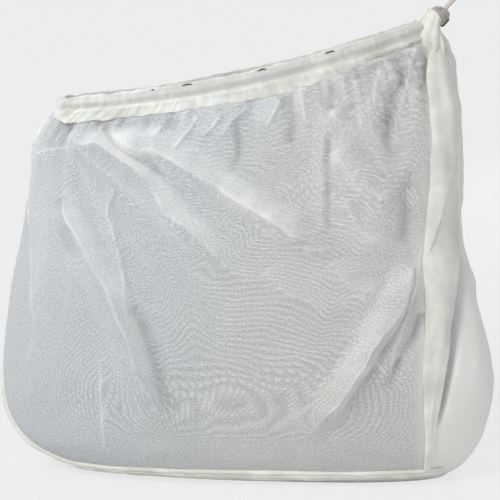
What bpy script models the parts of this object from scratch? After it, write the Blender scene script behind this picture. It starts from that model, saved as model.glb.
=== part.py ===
"""Net laundry bag, filled out and standing on its base, with a corded mouth and a spring cord lock.

Metres, +Z up. The bag's front faces -Y and +X is to the right as the front is seen. The origin
lies on the ground under the middle of the bag. The mouth rises from the left to the right, where
the two strands of the drawcord leave the casing, pass through the cord lock and end in a knot.
"""
import math

import bmesh
import bpy
from mathutils import Vector

GAP = 0.0003

# The bag's outline, level by level: the height of its left side, the x of its left fold and of
# its right side, and how far its front and its back stand out from the middle line.
OUTLINE = (
    (0.000, -0.184, 0.238, 0.046, 0.050),
    (0.013, -0.227, 0.259, 0.059, 0.062),
    (0.044, -0.270, 0.281, 0.074, 0.074),
    (0.100, -0.289, 0.291, 0.082, 0.082),
    (0.170, -0.285, 0.269, 0.081, 0.082),
    (0.240, -0.272, 0.249, 0.074, 0.076),
    (0.320, -0.251, 0.245, 0.058, 0.060),
    (0.390, -0.241, 0.237, 0.038, 0.040),
    (0.425, -0.222, 0.222, 0.0265, 0.0275),
    (0.446, -0.204, 0.192, 0.018, 0.019),
)
RIM_HEIGHT = 0.446
RIGHT_TO_LEFT_HEIGHT = 1.190
RIM_SAG = 0.015
MIDLINE_TURN = 0.014
BASE_SQUARENESS = 2.6
MOUTH_SQUARENESS = 2.0

# Net walls and base
NET_THICKNESS = 0.0024
WIDEST_WALL_FOOT = 0.009
HEM_HEIGHT = 0.028
WALL_TOP = RIM_HEIGHT - HEM_HEIGHT - GAP
WALL_ROWS = 24
WALL_ROW_SPREAD = 1.25
FRONT_COLUMNS = 25
BACK_COLUMNS = 26
BASE_COLUMNS = 48

# Main folds of the net's front and back: the (x, z) points that each runs through, how far it
# stands out and its half width. They fade out at their ends, and before a seam, the casing or
# the foot.
FRONT_FOLDS = (
    (((-0.145, 0.415), (-0.095, 0.389), (-0.021, 0.349), (0.059, 0.300), (0.120, 0.275)),
     0.0100, 0.028),
    (((-0.198, 0.413), (-0.146, 0.380), (-0.101, 0.341), (-0.052, 0.292), (0.020, 0.232)),
     0.0090, 0.025),
    (((-0.210, 0.330), (-0.184, 0.280), (-0.145, 0.207), (-0.120, 0.129), (-0.090, 0.068)),
     0.0095, 0.029),
    (((0.188, 0.262), (0.162, 0.213), (0.122, 0.149), (0.058, 0.058)), 0.0095, 0.026),
    (((0.095, 0.455), (0.105, 0.400), (0.145, 0.345), (0.166, 0.290)), 0.0070, 0.027),
)
BACK_FOLDS = (
    (((0.165, 0.470), (0.080, 0.370), (-0.020, 0.270), (-0.100, 0.200)), 0.0100, 0.031),
    (((0.210, 0.420), (0.180, 0.290), (0.130, 0.170), (0.095, 0.080)), 0.0090, 0.030),
    (((-0.195, 0.400), (-0.135, 0.300), (-0.080, 0.190), (-0.050, 0.100)), 0.0105, 0.031),
)
FOLD_START = 0.15
FOLD_FADE = 0.70
CLEAR_OF_CASING = 0.030
CLEAR_OF_FOOT = (0.020, 0.060)
CLEAR_OF_SEAM = (0.016, 0.038)
CLEAR_OF_LEFT_FOLD = (0.004, 0.030)

# Seam bands: the side seam runs down the front near the right side, the bottom seam along the
# front foot of the bag and up round its lower left corner.
SIDE_SEAM_X = ((0.0, 0.215), (0.10, 0.214), (0.30, 0.209), (0.39, 0.205), (0.446, 0.182))
SIDE_BAND_WIDTH = 0.028
SIDE_BAND_CROWN = 0.003
SIDE_BAND_FOOT = 0.019
BAND_THICKNESS = 0.0016
BOTTOM_BAND_WIDTH = 0.016
BOTTOM_BAND_HEIGHT = 0.010
BOTTOM_BAND_LEFT_HEIGHT = 0.090
CORNER_TURN = 0.62
LOWEST_LEVEL = 0.001
BAND_STEPS = 40

# Mouth casing: a tube for the drawcord over a flat hem
CORD_DIAMETER = 0.0045
TUBE_BORE = 0.0053
TUBE_WALL = 0.0007
TUBE_RADIUS = TUBE_BORE / 2 + TUBE_WALL
HEM_THICKNESS = 0.0024
CASING_INSIDE = -0.0004
TUBE_DROP = 0.0075
CASING_END_GAP = 0.003
CASING_STEPS = 60

# Cord lock. Its cord hole is the point that everything on it is placed from. The cord runs
# through it along CORD_WAY, and its button slides along LOCK_AXIS, towards its closed end.
CORD_WAY = Vector((0.67, 0.0, 0.743)).normalized()
LOCK_AXIS = Vector((-CORD_WAY.z, 0.0, CORD_WAY.x))
LOCK_HOLE = Vector((0.214, 0.0, 0.5355))
ACROSS = Vector((0.0, 1.0, 0.0))
STRAND_PITCH = CORD_DIAMETER + 0.0004
STRAND_PLAY = 0.0005
BUTTON_TRAVEL = 0.0028
BUTTON_RADIUS = 0.0065
BUTTON_CLEARANCE = 0.0003
BUTTON_FACE = -0.0124
BUTTON_INNER_END = 0.0042
BOSS_HEIGHT = 0.0007
BOSS_RADIUS = 0.0030
BODY_RIM = -0.0092
BODY_RIM_RADIUS = 0.0085
CAVITY_END = 0.0098
BODY_PROFILE = (
    (0.0114, 0.0),
    (0.0111, 0.0026),
    (0.0101, 0.0050),
    (0.0080, 0.0078),
    (0.0050, 0.0101),
    (0.0015, 0.0115),
    (-0.0020, 0.0119),
    (-0.0055, 0.0113),
    (-0.0080, 0.0099),
    (-0.0090, 0.0089),
)
LOCK_SIDES = 32
CUTTER_REACH = 0.03
SPRING_RADIUS = 0.0044
SPRING_WIRE = 0.0006
SPRING_TURNS = 4
SPRING_POINTS = 10
SPRING_TAPER = 0.0006

# Free ends of the drawcord: each bends from the casing towards the lock on one smooth curve, with
# handles of these lengths, and from here on runs straight through the lock's hole to the knot
STRAND_STRAIGHT_FROM = -0.0095
STRAND_HANDLES = (0.005, 0.007)
STRAND_BEND_STEPS = 10
STRAND_STRAIGHT_STEPS = 14
KNOT_DISTANCE = 0.052
KNOT_LENGTH = 0.015
KNOT_RADIUS = 0.0078
KNOT_TAIL = 0.014
KNOT_RINGS = 9
KNOT_SIDES = 16
KNOT_LUMPS = 0.06
TAIL_SPLAY = 0.2
CORD_SIDES_RESOLUTION = 3


def clear_scene():
    for item in list(bpy.data.objects):
        bpy.data.objects.remove(item, do_unlink=True)


def material(name, colour, roughness, metallic=0.0):
    made = bpy.data.materials.new(name)
    made.use_nodes = True
    shader = made.node_tree.nodes["Principled BSDF"]
    shader.inputs["Base Color"].default_value = (*colour, 1.0)
    shader.inputs["Roughness"].default_value = roughness
    shader.inputs["Metallic"].default_value = metallic
    return made


def finish_mesh(name, mesh_builder, surface, sharp_degrees=40):
    """Turn a bmesh into a smooth-shaded object with its faces pointing out."""
    bmesh.ops.recalc_face_normals(mesh_builder, faces=mesh_builder.faces)
    mesh = bpy.data.meshes.new(name)
    mesh_builder.to_mesh(mesh)
    mesh_builder.free()
    mesh.materials.append(surface)
    mesh.shade_smooth()
    mesh.set_sharp_from_angle(angle=math.radians(sharp_degrees))
    made = bpy.data.objects.new(name, mesh)
    bpy.context.scene.collection.objects.link(made)
    return made


def set_origin(item, point):
    """Move an object's origin without moving its shape."""
    for vertex in item.data.vertices:
        vertex.co -= point
    item.location = point


def read_table(table, at):
    """Read a table of rows (position, value, ...) on a smooth curve through its rows."""
    last = len(table) - 1
    at = min(max(at, table[0][0]), table[last][0])
    row = max(i for i in range(last) if table[i][0] <= at)
    before, start, end, after = (table[min(max(row + i, 0), last)] for i in (-1, 0, 1, 2))
    span = end[0] - start[0]
    t = (at - start[0]) / span
    values = []
    for column in range(1, len(start)):
        slope_in = (end[column] - before[column]) / (end[0] - before[0]) * span
        slope_out = (after[column] - start[column]) / (after[0] - start[0]) * span
        values.append(
            start[column] * (2 * t**3 - 3 * t**2 + 1)
            + slope_in * (t**3 - 2 * t**2 + t)
            + end[column] * (3 * t**2 - 2 * t**3)
            + slope_out * (t**3 - t**2)
        )
    return values


def wall_insets(level):
    """How far in the net's inner face lies on each side, more where the wall slopes."""
    step = 0.004
    low, high = max(level - step, 0.0), min(level + step, RIM_HEIGHT)
    below, above = read_table(OUTLINE, low), read_table(OUTLINE, high)
    slopes = [(b - a) / (high - low) for a, b in zip(below, above)]
    return [min(NET_THICKNESS * math.hypot(1.0, s), WIDEST_WALL_FOOT) for s in slopes]


def bag_point(level, angle, grow=0.0, inside=False):
    """A point of the bag's surface. Angle pi is the left fold, 1.5 pi the front, 2 pi the right."""
    left, right, front, back = read_table(OUTLINE, level)
    if inside:
        insets = wall_insets(level)
        left, right = left + insets[0], right - insets[1]
        front, back = front - insets[2], back - insets[3]
    left, right, front, back = left - grow, right + grow, front + grow, back + grow
    share = level / RIM_HEIGHT
    power = 2.0 / (BASE_SQUARENESS + (MOUTH_SQUARENESS - BASE_SQUARENESS) * share)
    along, across = math.cos(angle), math.sin(angle)
    x = (left + right) / 2 + (right - left) / 2 * math.copysign(abs(along) ** power, along)
    depth = back if across > 0 else front
    outer_left, outer_right = read_table(OUTLINE, level)[:2]
    w = min(max((x - outer_left) / (outer_right - outer_left), 0.0), 1.0)
    y = math.copysign(depth * abs(across) ** power, across)
    y += MIDLINE_TURN * (1 - share) * (1 - 2 * w)
    z = level * (1 + (RIGHT_TO_LEFT_HEIGHT - 1) * w) - RIM_SAG * share**3 * 4 * w * (1 - w)
    return Vector((x, y, z))


def surface_normal(level, angle):
    """The outward direction square to the bag's surface."""
    step = 0.002
    turn = bag_point(level, angle + step) - bag_point(level, angle - step)
    rise = bag_point(level + step, angle) - bag_point(max(level - step, 0.0), angle)
    return turn.cross(rise).normalized()


def seam_angle(level):
    """Where the side seam crosses this level, on the front near the right side."""
    left, right = read_table(OUTLINE, level)[:2]
    seam_x = read_table(SIDE_SEAM_X, level)[0]
    share = level / RIM_HEIGHT
    squareness = BASE_SQUARENESS + (MOUTH_SQUARENESS - BASE_SQUARENESS) * share
    along = (seam_x - (left + right) / 2) / ((right - left) / 2)
    return 2 * math.pi - math.acos(along ** (squareness / 2))


def turn_for(level, angle, distance):
    """The change of angle that moves a point by a distance along its level."""
    step = 0.01
    return distance * step / (bag_point(level, angle + step) - bag_point(level, angle)).length


def even_steps(start, end, count):
    return [start + (end - start) * i / count for i in range(count + 1)]


def wall_levels():
    """Levels of the walls' rows, closer together near the rounded foot."""
    return [WALL_TOP * t**WALL_ROW_SPREAD for t in even_steps(0.0, 1.0, WALL_ROWS)]


def ramp(low, high, value):
    """0 below low, 1 above high, and a soft step between."""
    t = min(max((value - low) / (high - low), 0.0), 1.0)
    return t * t * (3 - 2 * t)


def nearest_on_line(line, x, z):
    """Distance of a point from a line, and the share of the line's points passed there."""
    best = None
    for i, ((ax, az), (bx, bz)) in enumerate(zip(line, line[1:])):
        dx, dz = bx - ax, bz - az
        t = ((x - ax) * dx + (z - az) * dz) / (dx * dx + dz * dz)
        t = min(max(t, 0.0), 1.0)
        away = math.hypot(x - ax - t * dx, z - az - t * dz)
        if best is None or away < best[0]:
            best = away, (i + t) / (len(line) - 1)
    return best


def fold_height(level, angle):
    """How far the net stands out from the plain surface in its main folds."""
    point = bag_point(level, angle)
    height = 0.0
    for line, rise, half_width in FRONT_FOLDS if math.sin(angle) < 0 else BACK_FOLDS:
        away, share = nearest_on_line(line, point.x, point.z)
        ridge = max(0.0, 1.0 - (away / half_width) ** 2) ** 2
        ends = ramp(0.0, FOLD_START, share) * (1.0 - ramp(FOLD_FADE, 1.0, share))
        height = max(height, rise * ridge * ends)
    seam = (point - bag_point(level, seam_angle(level))).length
    left = (point - bag_point(level, math.pi)).length
    height *= ramp(*CLEAR_OF_SEAM, seam) * ramp(*CLEAR_OF_LEFT_FOLD, left)
    return height * ramp(*CLEAR_OF_FOOT, level) * ramp(0.0, CLEAR_OF_CASING, WALL_TOP - level)


def split_along_fold(corners, heights):
    """One face of a grid, or two that meet along the diagonal that follows the fold."""
    if max(heights) == min(heights):
        return [corners]
    a, b, c, d = corners
    if abs(heights[0] - heights[2]) < abs(heights[1] - heights[3]):
        return [(a, b, c), (a, c, d)]
    return [(a, b, d), (b, c, d)]


def shell(name, outer, inner, surface, heights=None):
    """A closed sheet between an outer and an inner grid of points of the same size."""
    builder = bmesh.new()
    rows, columns = len(outer), len(outer[0])
    outside = [[builder.verts.new(p) for p in row] for row in outer]
    inside = [[builder.verts.new(p) for p in row] for row in inner]
    for i in range(rows - 1):
        for j in range(columns - 1):
            places = ((i, j), (i, j + 1), (i + 1, j + 1), (i + 1, j))
            rises = [heights[a][b] if heights else 0.0 for a, b in places]
            for grid in (outside, inside):
                for face in split_along_fold([grid[a][b] for a, b in places], rises):
                    builder.faces.new(face)
    border = [(0, j) for j in range(columns)]
    border += [(i, columns - 1) for i in range(1, rows)]
    border += [(rows - 1, j) for j in range(columns - 2, -1, -1)]
    border += [(i, 0) for i in range(rows - 2, 0, -1)]
    for (a, b), (c, d) in zip(border, border[1:] + border[:1]):
        builder.faces.new((outside[a][b], outside[c][d], inside[c][d], inside[a][b]))
    return finish_mesh(name, builder, surface)


def net_wall(name, columns, start_of, end_of, surface):
    """A net wall from one angle to another at each level, with its main folds."""
    outer, inner, heights = [], [], []
    for level in wall_levels():
        angles = even_steps(start_of(level), end_of(level), columns)
        heights.append([fold_height(level, angle) for angle in angles])
        folds = [surface_normal(level, angle) * h for angle, h in zip(angles, heights[-1])]
        outer.append([bag_point(level, angle) + f for angle, f in zip(angles, folds)])
        inner.append([bag_point(level, angle, inside=True) + f for angle, f in zip(angles, folds)])
    return shell(name, outer, inner, surface, heights)


def net_walls(surface):
    """The front and the back of the net, apart by a hair at the left fold and the side seam."""

    def fold(level):
        return math.asin(GAP / read_table(OUTLINE, level)[2])

    def seam(level, side):
        angle = seam_angle(level)
        return angle + side * turn_for(level, angle, GAP)

    net_wall("net_front", FRONT_COLUMNS, lambda v: math.pi + fold(v), lambda v: seam(v, -1), surface)
    net_wall("net_back", BACK_COLUMNS, lambda v: seam(v, 1), lambda v: 3 * math.pi - fold(v), surface)


def net_base(surface):
    """The net under the bag: a flat sheet inside the foot of the walls."""
    builder = bmesh.new()
    angles = even_steps(0.0, 2 * math.pi, BASE_COLUMNS)[:-1]
    foot = [bag_point(0.0, angle, grow=-2 * GAP, inside=True) for angle in angles]
    low = [builder.verts.new((p.x, p.y, 0.0)) for p in foot]
    high = [builder.verts.new((p.x, p.y, NET_THICKNESS)) for p in foot]
    builder.faces.new(low)
    builder.faces.new(high)
    for i in range(BASE_COLUMNS):
        j = (i + 1) % BASE_COLUMNS
        builder.faces.new((low[i], low[j], high[j], high[i]))
    return finish_mesh("net_base", builder, surface)


def side_seam_band(surface):
    """The tape that covers the side seam, from the bottom seam to the casing."""
    outer, inner = [], []
    for level in wall_levels():
        if level < SIDE_BAND_FOOT:
            continue
        middle = seam_angle(level)
        half = turn_for(level, middle, SIDE_BAND_WIDTH / 2)
        across = even_steps(-1.0, 1.0, 6)
        angles = [middle + half * side for side in across]
        skin = [(bag_point(level, a), surface_normal(level, a)) for a in angles]
        lifts = [BAND_THICKNESS + SIDE_BAND_CROWN * (1 - side**2) for side in across]
        inner.append([p + n * 2 * GAP for p, n in skin])
        outer.append([p + n * (2 * GAP + lift) for (p, n), lift in zip(skin, lifts)])
    return shell("side_seam_band", outer, inner, surface)


def bottom_seam_band(surface):
    """The tape on the bottom seam, along the front foot and up round the lower left corner."""
    outer, inner = [], []
    seam = seam_angle(BOTTOM_BAND_HEIGHT)
    end = seam + turn_for(BOTTOM_BAND_HEIGHT, seam, SIDE_BAND_WIDTH / 2)
    for angle in even_steps(math.pi, end, BAND_STEPS):
        rise = max(0.0, 1.0 - (angle - math.pi) / CORNER_TURN)
        height = BOTTOM_BAND_HEIGHT
        height += (BOTTOM_BAND_LEFT_HEIGHT - BOTTOM_BAND_HEIGHT) * rise**2
        step = LOWEST_LEVEL
        slant = (bag_point(height + step, angle) - bag_point(height, angle)).length / step
        half = BOTTOM_BAND_WIDTH / 2 / slant
        levels = even_steps(max(height - half, LOWEST_LEVEL), height + half, 4)
        skin = [(bag_point(v, angle), surface_normal(v, angle)) for v in levels]
        inner.append([p + n * 2 * GAP for p, n in skin])
        outer.append([p + n * (2 * GAP + BAND_THICKNESS) for p, n in skin])
    for grid in (outer, inner):
        for row in grid:
            for point in row:
                point.z = max(point.z, 0.0)
    return shell("bottom_seam_band", outer, inner, surface)


def casing_path():
    """Frames along the rim, from the front right end to the back one: point, out, up, hem foot."""
    depth = read_table(OUTLINE, RIM_HEIGHT)[2]
    end = math.asin(CASING_END_GAP / depth)
    path = []
    for angle in even_steps(2 * math.pi - end, end, CASING_STEPS):
        rim = bag_point(RIM_HEIGHT, angle)
        foot = bag_point(WALL_TOP + GAP, angle)
        step = 0.01
        along = bag_point(RIM_HEIGHT, angle + step) - bag_point(RIM_HEIGHT, angle - step)
        out = along.cross(rim - foot).normalized()
        path.append((rim, out, out.cross(along).normalized(), foot))
    return path


def casing_section(point, out, up, foot):
    """Outline of the casing across its length: a round tube with a flat hem under it."""
    centre = CASING_INSIDE + TUBE_RADIUS
    hem_outside = CASING_INSIDE + HEM_THICKNESS
    corners = [(hem_outside, -TUBE_DROP - TUBE_RADIUS * 0.9)]
    for degrees in (-35, 0, 35, 65, 90, 120, 150, 180, 210):
        turn = math.radians(degrees)
        corners.append(
            (centre + TUBE_RADIUS * math.cos(turn), -TUBE_DROP + TUBE_RADIUS * math.sin(turn))
        )
    hem = [foot + out * CASING_INSIDE, foot + out * hem_outside]
    return hem + [point + out * across + up * rise for across, rise in corners]


def bore_section(point, out, up, corners):
    """The bore's outline, each of its points facing one of the casing's."""
    centre = point + out * (CASING_INSIDE + TUBE_RADIUS) - up * TUBE_DROP
    turns = [math.atan2((c - centre).dot(up), (c - centre).dot(out)) for c in corners]
    spread = [turns[0] + 2 * math.pi * i / len(corners) for i in range(len(corners))]
    radius = TUBE_BORE / 2
    return [centre + (out * math.cos(t) + up * math.sin(t)) * radius for t in spread]


def mouth_casing(surface):
    """The hem round the mouth, hollow for the drawcord and open at its two right ends."""
    builder = bmesh.new()
    walls, bores = [], []
    for point, out, up, foot in casing_path():
        section = casing_section(point, out, up, foot)
        walls.append([builder.verts.new(p) for p in section])
        bores.append([builder.verts.new(p) for p in bore_section(point, out, up, section)])
    for rings in (walls, bores):
        for here, there in zip(rings, rings[1:]):
            for i in range(len(here)):
                j = (i + 1) % len(here)
                builder.faces.new((here[i], here[j], there[j], there[i]))
    for end in (0, -1):
        wall, bore = walls[end], bores[end]
        for i in range(len(wall)):
            j = (i + 1) % len(wall)
            builder.faces.new((wall[i], wall[j], bore[j], bore[i]))
    return finish_mesh("mouth_casing", builder, surface)


def cord(name, points, diameter, surface, resolution=CORD_SIDES_RESOLUTION):
    """A round cord along a list of points, with closed ends."""
    curve = bpy.data.curves.new(name, "CURVE")
    curve.dimensions = "3D"
    curve.bevel_depth = diameter / 2
    curve.bevel_resolution = resolution
    curve.use_fill_caps = True
    spline = curve.splines.new("POLY")
    spline.points.add(len(points) - 1)
    for target, point in zip(spline.points, points):
        target.co = (*point, 1.0)
    curve.materials.append(surface)
    made = bpy.data.objects.new(name, curve)
    bpy.context.scene.collection.objects.link(made)
    return made


def casing_bore_line():
    """The middle of the casing's bore, from the front right end to the back one."""
    inset = CASING_INSIDE + TUBE_RADIUS
    return [point + out * inset - up * TUBE_DROP for point, out, up, _ in casing_path()]


def bend_point(start, first, second, end, t):
    """A point of a cubic curve from its two ends and its two handles."""
    u = 1 - t
    return start * u**3 + first * (3 * u * u * t) + second * (3 * u * t * t) + end * t**3


def strand_route(side):
    """One free strand: out of the casing, beside the other through the lock, to the knot."""
    line = casing_bore_line()
    casing_end = line[0] if side < 0 else line[-1]
    inner = line[1] if side < 0 else line[-2]
    beside = ACROSS * side * STRAND_PITCH / 2
    start = casing_end + (casing_end - inner).normalized() * 2 * GAP
    entry = LOCK_HOLE + CORD_WAY * STRAND_STRAIGHT_FROM + beside
    first = start + (entry - start).normalized() * STRAND_HANDLES[0]
    second = entry - CORD_WAY * STRAND_HANDLES[1]
    shares = even_steps(0.0, 1.0, STRAND_BEND_STEPS)[:-1]
    route = [bend_point(start, first, second, entry, t) for t in shares]
    for along in even_steps(STRAND_STRAIGHT_FROM, KNOT_DISTANCE - GAP, STRAND_STRAIGHT_STEPS):
        route.append(LOCK_HOLE + CORD_WAY * along + beside)
    return route


def end_knot(surface):
    """The knot that joins the two strands, with their cut ends beyond it."""
    centre = LOCK_HOLE + CORD_WAY * (KNOT_DISTANCE + KNOT_LENGTH / 2)
    builder = bmesh.new()
    grid = []
    for i in range(1, KNOT_RINGS):
        turn = math.pi * i / KNOT_RINGS
        along = centre - CORD_WAY * math.cos(turn) * KNOT_LENGTH / 2
        radius = KNOT_RADIUS * math.sin(turn) ** 0.7 * (1 - 0.12 * math.sin(turn) ** 8)
        grid.append([])
        for j in range(KNOT_SIDES):
            around = 2 * math.pi * j / KNOT_SIDES
            lump = 1 + KNOT_LUMPS * math.sin(2 * around + 3 * turn)
            out = ACROSS * math.cos(around) + LOCK_AXIS * math.sin(around)
            grid[-1].append(builder.verts.new(along + out * radius * lump))
    for here, there in zip(grid, grid[1:]):
        for j in range(KNOT_SIDES):
            k = (j + 1) % KNOT_SIDES
            builder.faces.new((here[j], here[k], there[k], there[j]))
    builder.faces.new(grid[0])
    builder.faces.new(grid[-1])
    knot = finish_mesh("end_knot", builder, surface)
    reach = KNOT_LENGTH / 2 + KNOT_TAIL
    radius = CORD_DIAMETER / 2
    for side in (-1, 1):
        foot = centre + ACROSS * side * STRAND_PITCH / 2
        splay = (CORD_WAY + LOCK_AXIS * side * TAIL_SPLAY).normalized()
        profile = ((0.0, 0.0), (0.0, radius), (reach, radius), (reach, 0.0))
        tail = turned(f"knot_tail_{side}", profile, foot, splay, 12, surface)
        tail.hide_render = True
        tail.display_type = "WIRE"
        join = knot.modifiers.new("tail", "BOOLEAN")
        join.operation = "UNION"
        join.solver = "EXACT"
        join.object = tail
    return knot


def turned(name, profile, centre, axis, sides, surface):
    """A solid turned about an axis from (along, radius) pairs that start and end on it."""
    side_way = ACROSS
    third = axis.cross(side_way)
    builder = bmesh.new()
    first = builder.verts.new(centre + axis * profile[0][0])
    last = builder.verts.new(centre + axis * profile[-1][0])
    rings = []
    for along, radius in profile[1:-1]:
        ring = []
        for i in range(sides):
            turn = 2 * math.pi * i / sides
            out = side_way * math.cos(turn) + third * math.sin(turn)
            ring.append(builder.verts.new(centre + axis * along + out * radius))
        rings.append(ring)
    for here, there in zip(rings, rings[1:]):
        for i in range(sides):
            j = (i + 1) % sides
            builder.faces.new((here[i], here[j], there[j], there[i]))
    for i in range(sides):
        j = (i + 1) % sides
        builder.faces.new((first, rings[0][j], rings[0][i]))
        builder.faces.new((last, rings[-1][i], rings[-1][j]))
    return finish_mesh(name, builder, surface, 30)


def slot_cutter(name, low, high, half_width):
    """A long bar with a rounded section, along the cord's way, to cut a cord slot with."""
    builder = bmesh.new()
    radius = CORD_DIAMETER / 2
    ends = []
    for along in (-CUTTER_REACH, CUTTER_REACH):
        ring = []
        for corner, (across, rise) in enumerate(((1, 1), (-1, 1), (-1, -1), (1, -1))):
            for step in range(5):
                turn = math.pi / 2 * (corner + step / 4)
                y = across * (half_width - radius) + radius * math.cos(turn)
                n = (low + high) / 2 + rise * ((high - low) / 2 - radius) + radius * math.sin(turn)
                place = LOCK_HOLE + CORD_WAY * along + ACROSS * y + LOCK_AXIS * n
                ring.append(builder.verts.new(place))
        ends.append(ring)
    for i in range(len(ends[0])):
        j = (i + 1) % len(ends[0])
        builder.faces.new((ends[0][i], ends[0][j], ends[1][j], ends[1][i]))
    builder.faces.new(ends[0])
    builder.faces.new(ends[1])
    cutter = finish_mesh(name, builder, bpy.data.materials["lock_plastic"])
    cutter.hide_render = True
    cutter.display_type = "WIRE"
    return cutter


def cut(item, cutter):
    boolean = item.modifiers.new("cord_slot", "BOOLEAN")
    boolean.operation = "DIFFERENCE"
    boolean.solver = "EXACT"
    boolean.object = cutter


def least_gap(points, diameter, apart):
    """The least gap between a coil's turns, among points at least so many steps apart."""
    return min(
        (a - b).length - diameter for i, a in enumerate(points) for b in points[i + apart :]
    )


def cord_lock(plastic, steel):
    """The lock: a round body with a bore, a sprung button in it, and a slot for two strands."""
    bore = BUTTON_RADIUS + BUTTON_CLEARANCE
    half_width = (STRAND_PITCH + CORD_DIAMETER) / 2 + STRAND_PLAY
    strand = CORD_DIAMETER / 2
    chamfer = 0.0004
    profile = list(BODY_PROFILE) + [
        (BODY_RIM, BODY_RIM_RADIUS),
        (BODY_RIM, bore + chamfer),
        (BODY_RIM + chamfer, bore),
        (CAVITY_END - 0.0022, bore),
        (CAVITY_END - 0.0006, bore - 0.0012),
        (CAVITY_END, bore - 0.0028),
        (CAVITY_END, 0.0),
    ]
    body = turned("lock_body", profile, LOCK_HOLE, LOCK_AXIS, LOCK_SIDES, plastic)
    cut(body, slot_cutter("body_slot", -strand - STRAND_PLAY, strand + STRAND_PLAY, half_width))
    boss_end = BUTTON_INNER_END + BOSS_HEIGHT
    button_profile = (
        (BUTTON_FACE, 0.0),
        (BUTTON_FACE + 0.0002, 0.0035),
        (BUTTON_FACE + 0.0005, 0.0054),
        (BUTTON_FACE + 0.0011, 0.0062),
        (BUTTON_FACE + 0.0019, BUTTON_RADIUS),
        (BUTTON_INNER_END - chamfer, BUTTON_RADIUS),
        (BUTTON_INNER_END, BUTTON_RADIUS - chamfer),
        (BUTTON_INNER_END, BOSS_RADIUS + chamfer),
        (boss_end, BOSS_RADIUS),
        (boss_end, 0.0),
    )
    button = turned("lock_button", button_profile, LOCK_HOLE, LOCK_AXIS, LOCK_SIDES, plastic)
    low, high = -strand - GAP - BUTTON_TRAVEL, strand + GAP
    cut(button, slot_cutter("button_slot", low, high, half_width))
    coil = []
    low = BUTTON_INNER_END + GAP + SPRING_WIRE / 2
    high = CAVITY_END - GAP - SPRING_WIRE / 2
    third = LOCK_AXIS.cross(ACROSS)
    for i in range(SPRING_TURNS * SPRING_POINTS + 1):
        turn = 2 * math.pi * i / SPRING_POINTS
        share = i / (SPRING_TURNS * SPRING_POINTS)
        out = ACROSS * math.cos(turn) + third * math.sin(turn)
        along = low + (high - low) * share
        radius = SPRING_RADIUS - SPRING_TAPER * share
        coil.append(LOCK_HOLE + out * radius + LOCK_AXIS * along)
    spring = cord("lock_spring", coil, SPRING_WIRE, steel, 1)
    gap = least_gap(coil, SPRING_WIRE, SPRING_POINTS // 2)
    print(f"least gap between the spring's turns: {gap * 1000:.2f} mm")
    set_origin(body, LOCK_HOLE)
    set_origin(button, LOCK_HOLE)
    for child in (button, spring):
        child.parent = body
        child.matrix_parent_inverse = body.matrix_basis.inverted()


def build():
    clear_scene()
    net = material("white_net", (0.80, 0.82, 0.83), 0.75)
    tape = material("off_white_tape", (0.87, 0.87, 0.83), 0.8)
    cord_finish = material("cream_cord", (0.84, 0.82, 0.76), 0.85)
    plastic = material("lock_plastic", (0.70, 0.69, 0.66), 0.4)
    steel = material("spring_steel", (0.62, 0.62, 0.63), 0.3, 1.0)
    net_walls(net)
    net_base(net)
    side_seam_band(tape)
    bottom_seam_band(tape)
    mouth_casing(tape)
    cord("drawcord_in_casing", casing_bore_line(), CORD_DIAMETER, cord_finish)
    for name, side in (("cord_strand_front", -1), ("cord_strand_back", 1)):
        cord(name, strand_route(side), CORD_DIAMETER, cord_finish)
    end_knot(cord_finish)
    cord_lock(plastic, steel)


build()
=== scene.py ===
"""Looks of the net laundry bag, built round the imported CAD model.

Metres, +Z up. The bag's front faces -Y and +X is to the right as the front is seen. Every cloth
piece lies on one surface, the bag's outline lofted from its foot to its rim, pushed in and out
by folds.
"""
import math

import bpy
import numpy as np
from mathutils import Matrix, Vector, noise


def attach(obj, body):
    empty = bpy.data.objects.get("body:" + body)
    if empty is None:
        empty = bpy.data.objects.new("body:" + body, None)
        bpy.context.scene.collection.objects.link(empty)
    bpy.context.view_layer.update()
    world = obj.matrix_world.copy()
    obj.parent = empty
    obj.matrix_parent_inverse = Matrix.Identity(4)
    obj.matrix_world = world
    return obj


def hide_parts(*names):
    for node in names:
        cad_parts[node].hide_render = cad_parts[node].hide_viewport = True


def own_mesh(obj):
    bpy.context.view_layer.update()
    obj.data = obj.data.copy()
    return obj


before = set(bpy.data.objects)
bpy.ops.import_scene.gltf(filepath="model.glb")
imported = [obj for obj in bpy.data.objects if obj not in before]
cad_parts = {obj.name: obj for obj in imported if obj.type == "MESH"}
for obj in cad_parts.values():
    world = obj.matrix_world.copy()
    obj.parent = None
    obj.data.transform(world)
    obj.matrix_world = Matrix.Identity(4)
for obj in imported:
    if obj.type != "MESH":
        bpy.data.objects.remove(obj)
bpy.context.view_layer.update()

GAP = 0.0003

# Camera: level with the bag's middle, looking 13 degrees down at its front
AIM = Vector((0.0043, 0.0, 0.268))
CAMERA_DISTANCE = 1.5
CAMERA_DOWN = math.radians(13)
CAMERA_LENS = 93.1

# The bag's outline as the CAD has it: height of the left side, x of the left fold and of the
# right side, and how far the front and the back stand out from the middle line
OUTLINE = (
    (0.000, -0.184, 0.238, 0.046, 0.050),
    (0.013, -0.227, 0.259, 0.059, 0.062),
    (0.044, -0.270, 0.281, 0.074, 0.074),
    (0.100, -0.289, 0.291, 0.082, 0.082),
    (0.170, -0.285, 0.269, 0.081, 0.082),
    (0.240, -0.272, 0.249, 0.074, 0.076),
    (0.320, -0.251, 0.245, 0.058, 0.060),
    (0.390, -0.241, 0.237, 0.038, 0.040),
    (0.425, -0.222, 0.222, 0.0265, 0.0275),
    (0.446, -0.204, 0.192, 0.018, 0.019),
)
RIM_HEIGHT = 0.446
RIGHT_TO_LEFT_HEIGHT = 1.190
RIM_SAG = 0.015
MIDLINE_TURN = 0.014
BASE_SQUARENESS = 2.6
MOUTH_SQUARENESS = 2.0
HEM_HEIGHT = 0.028
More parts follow.
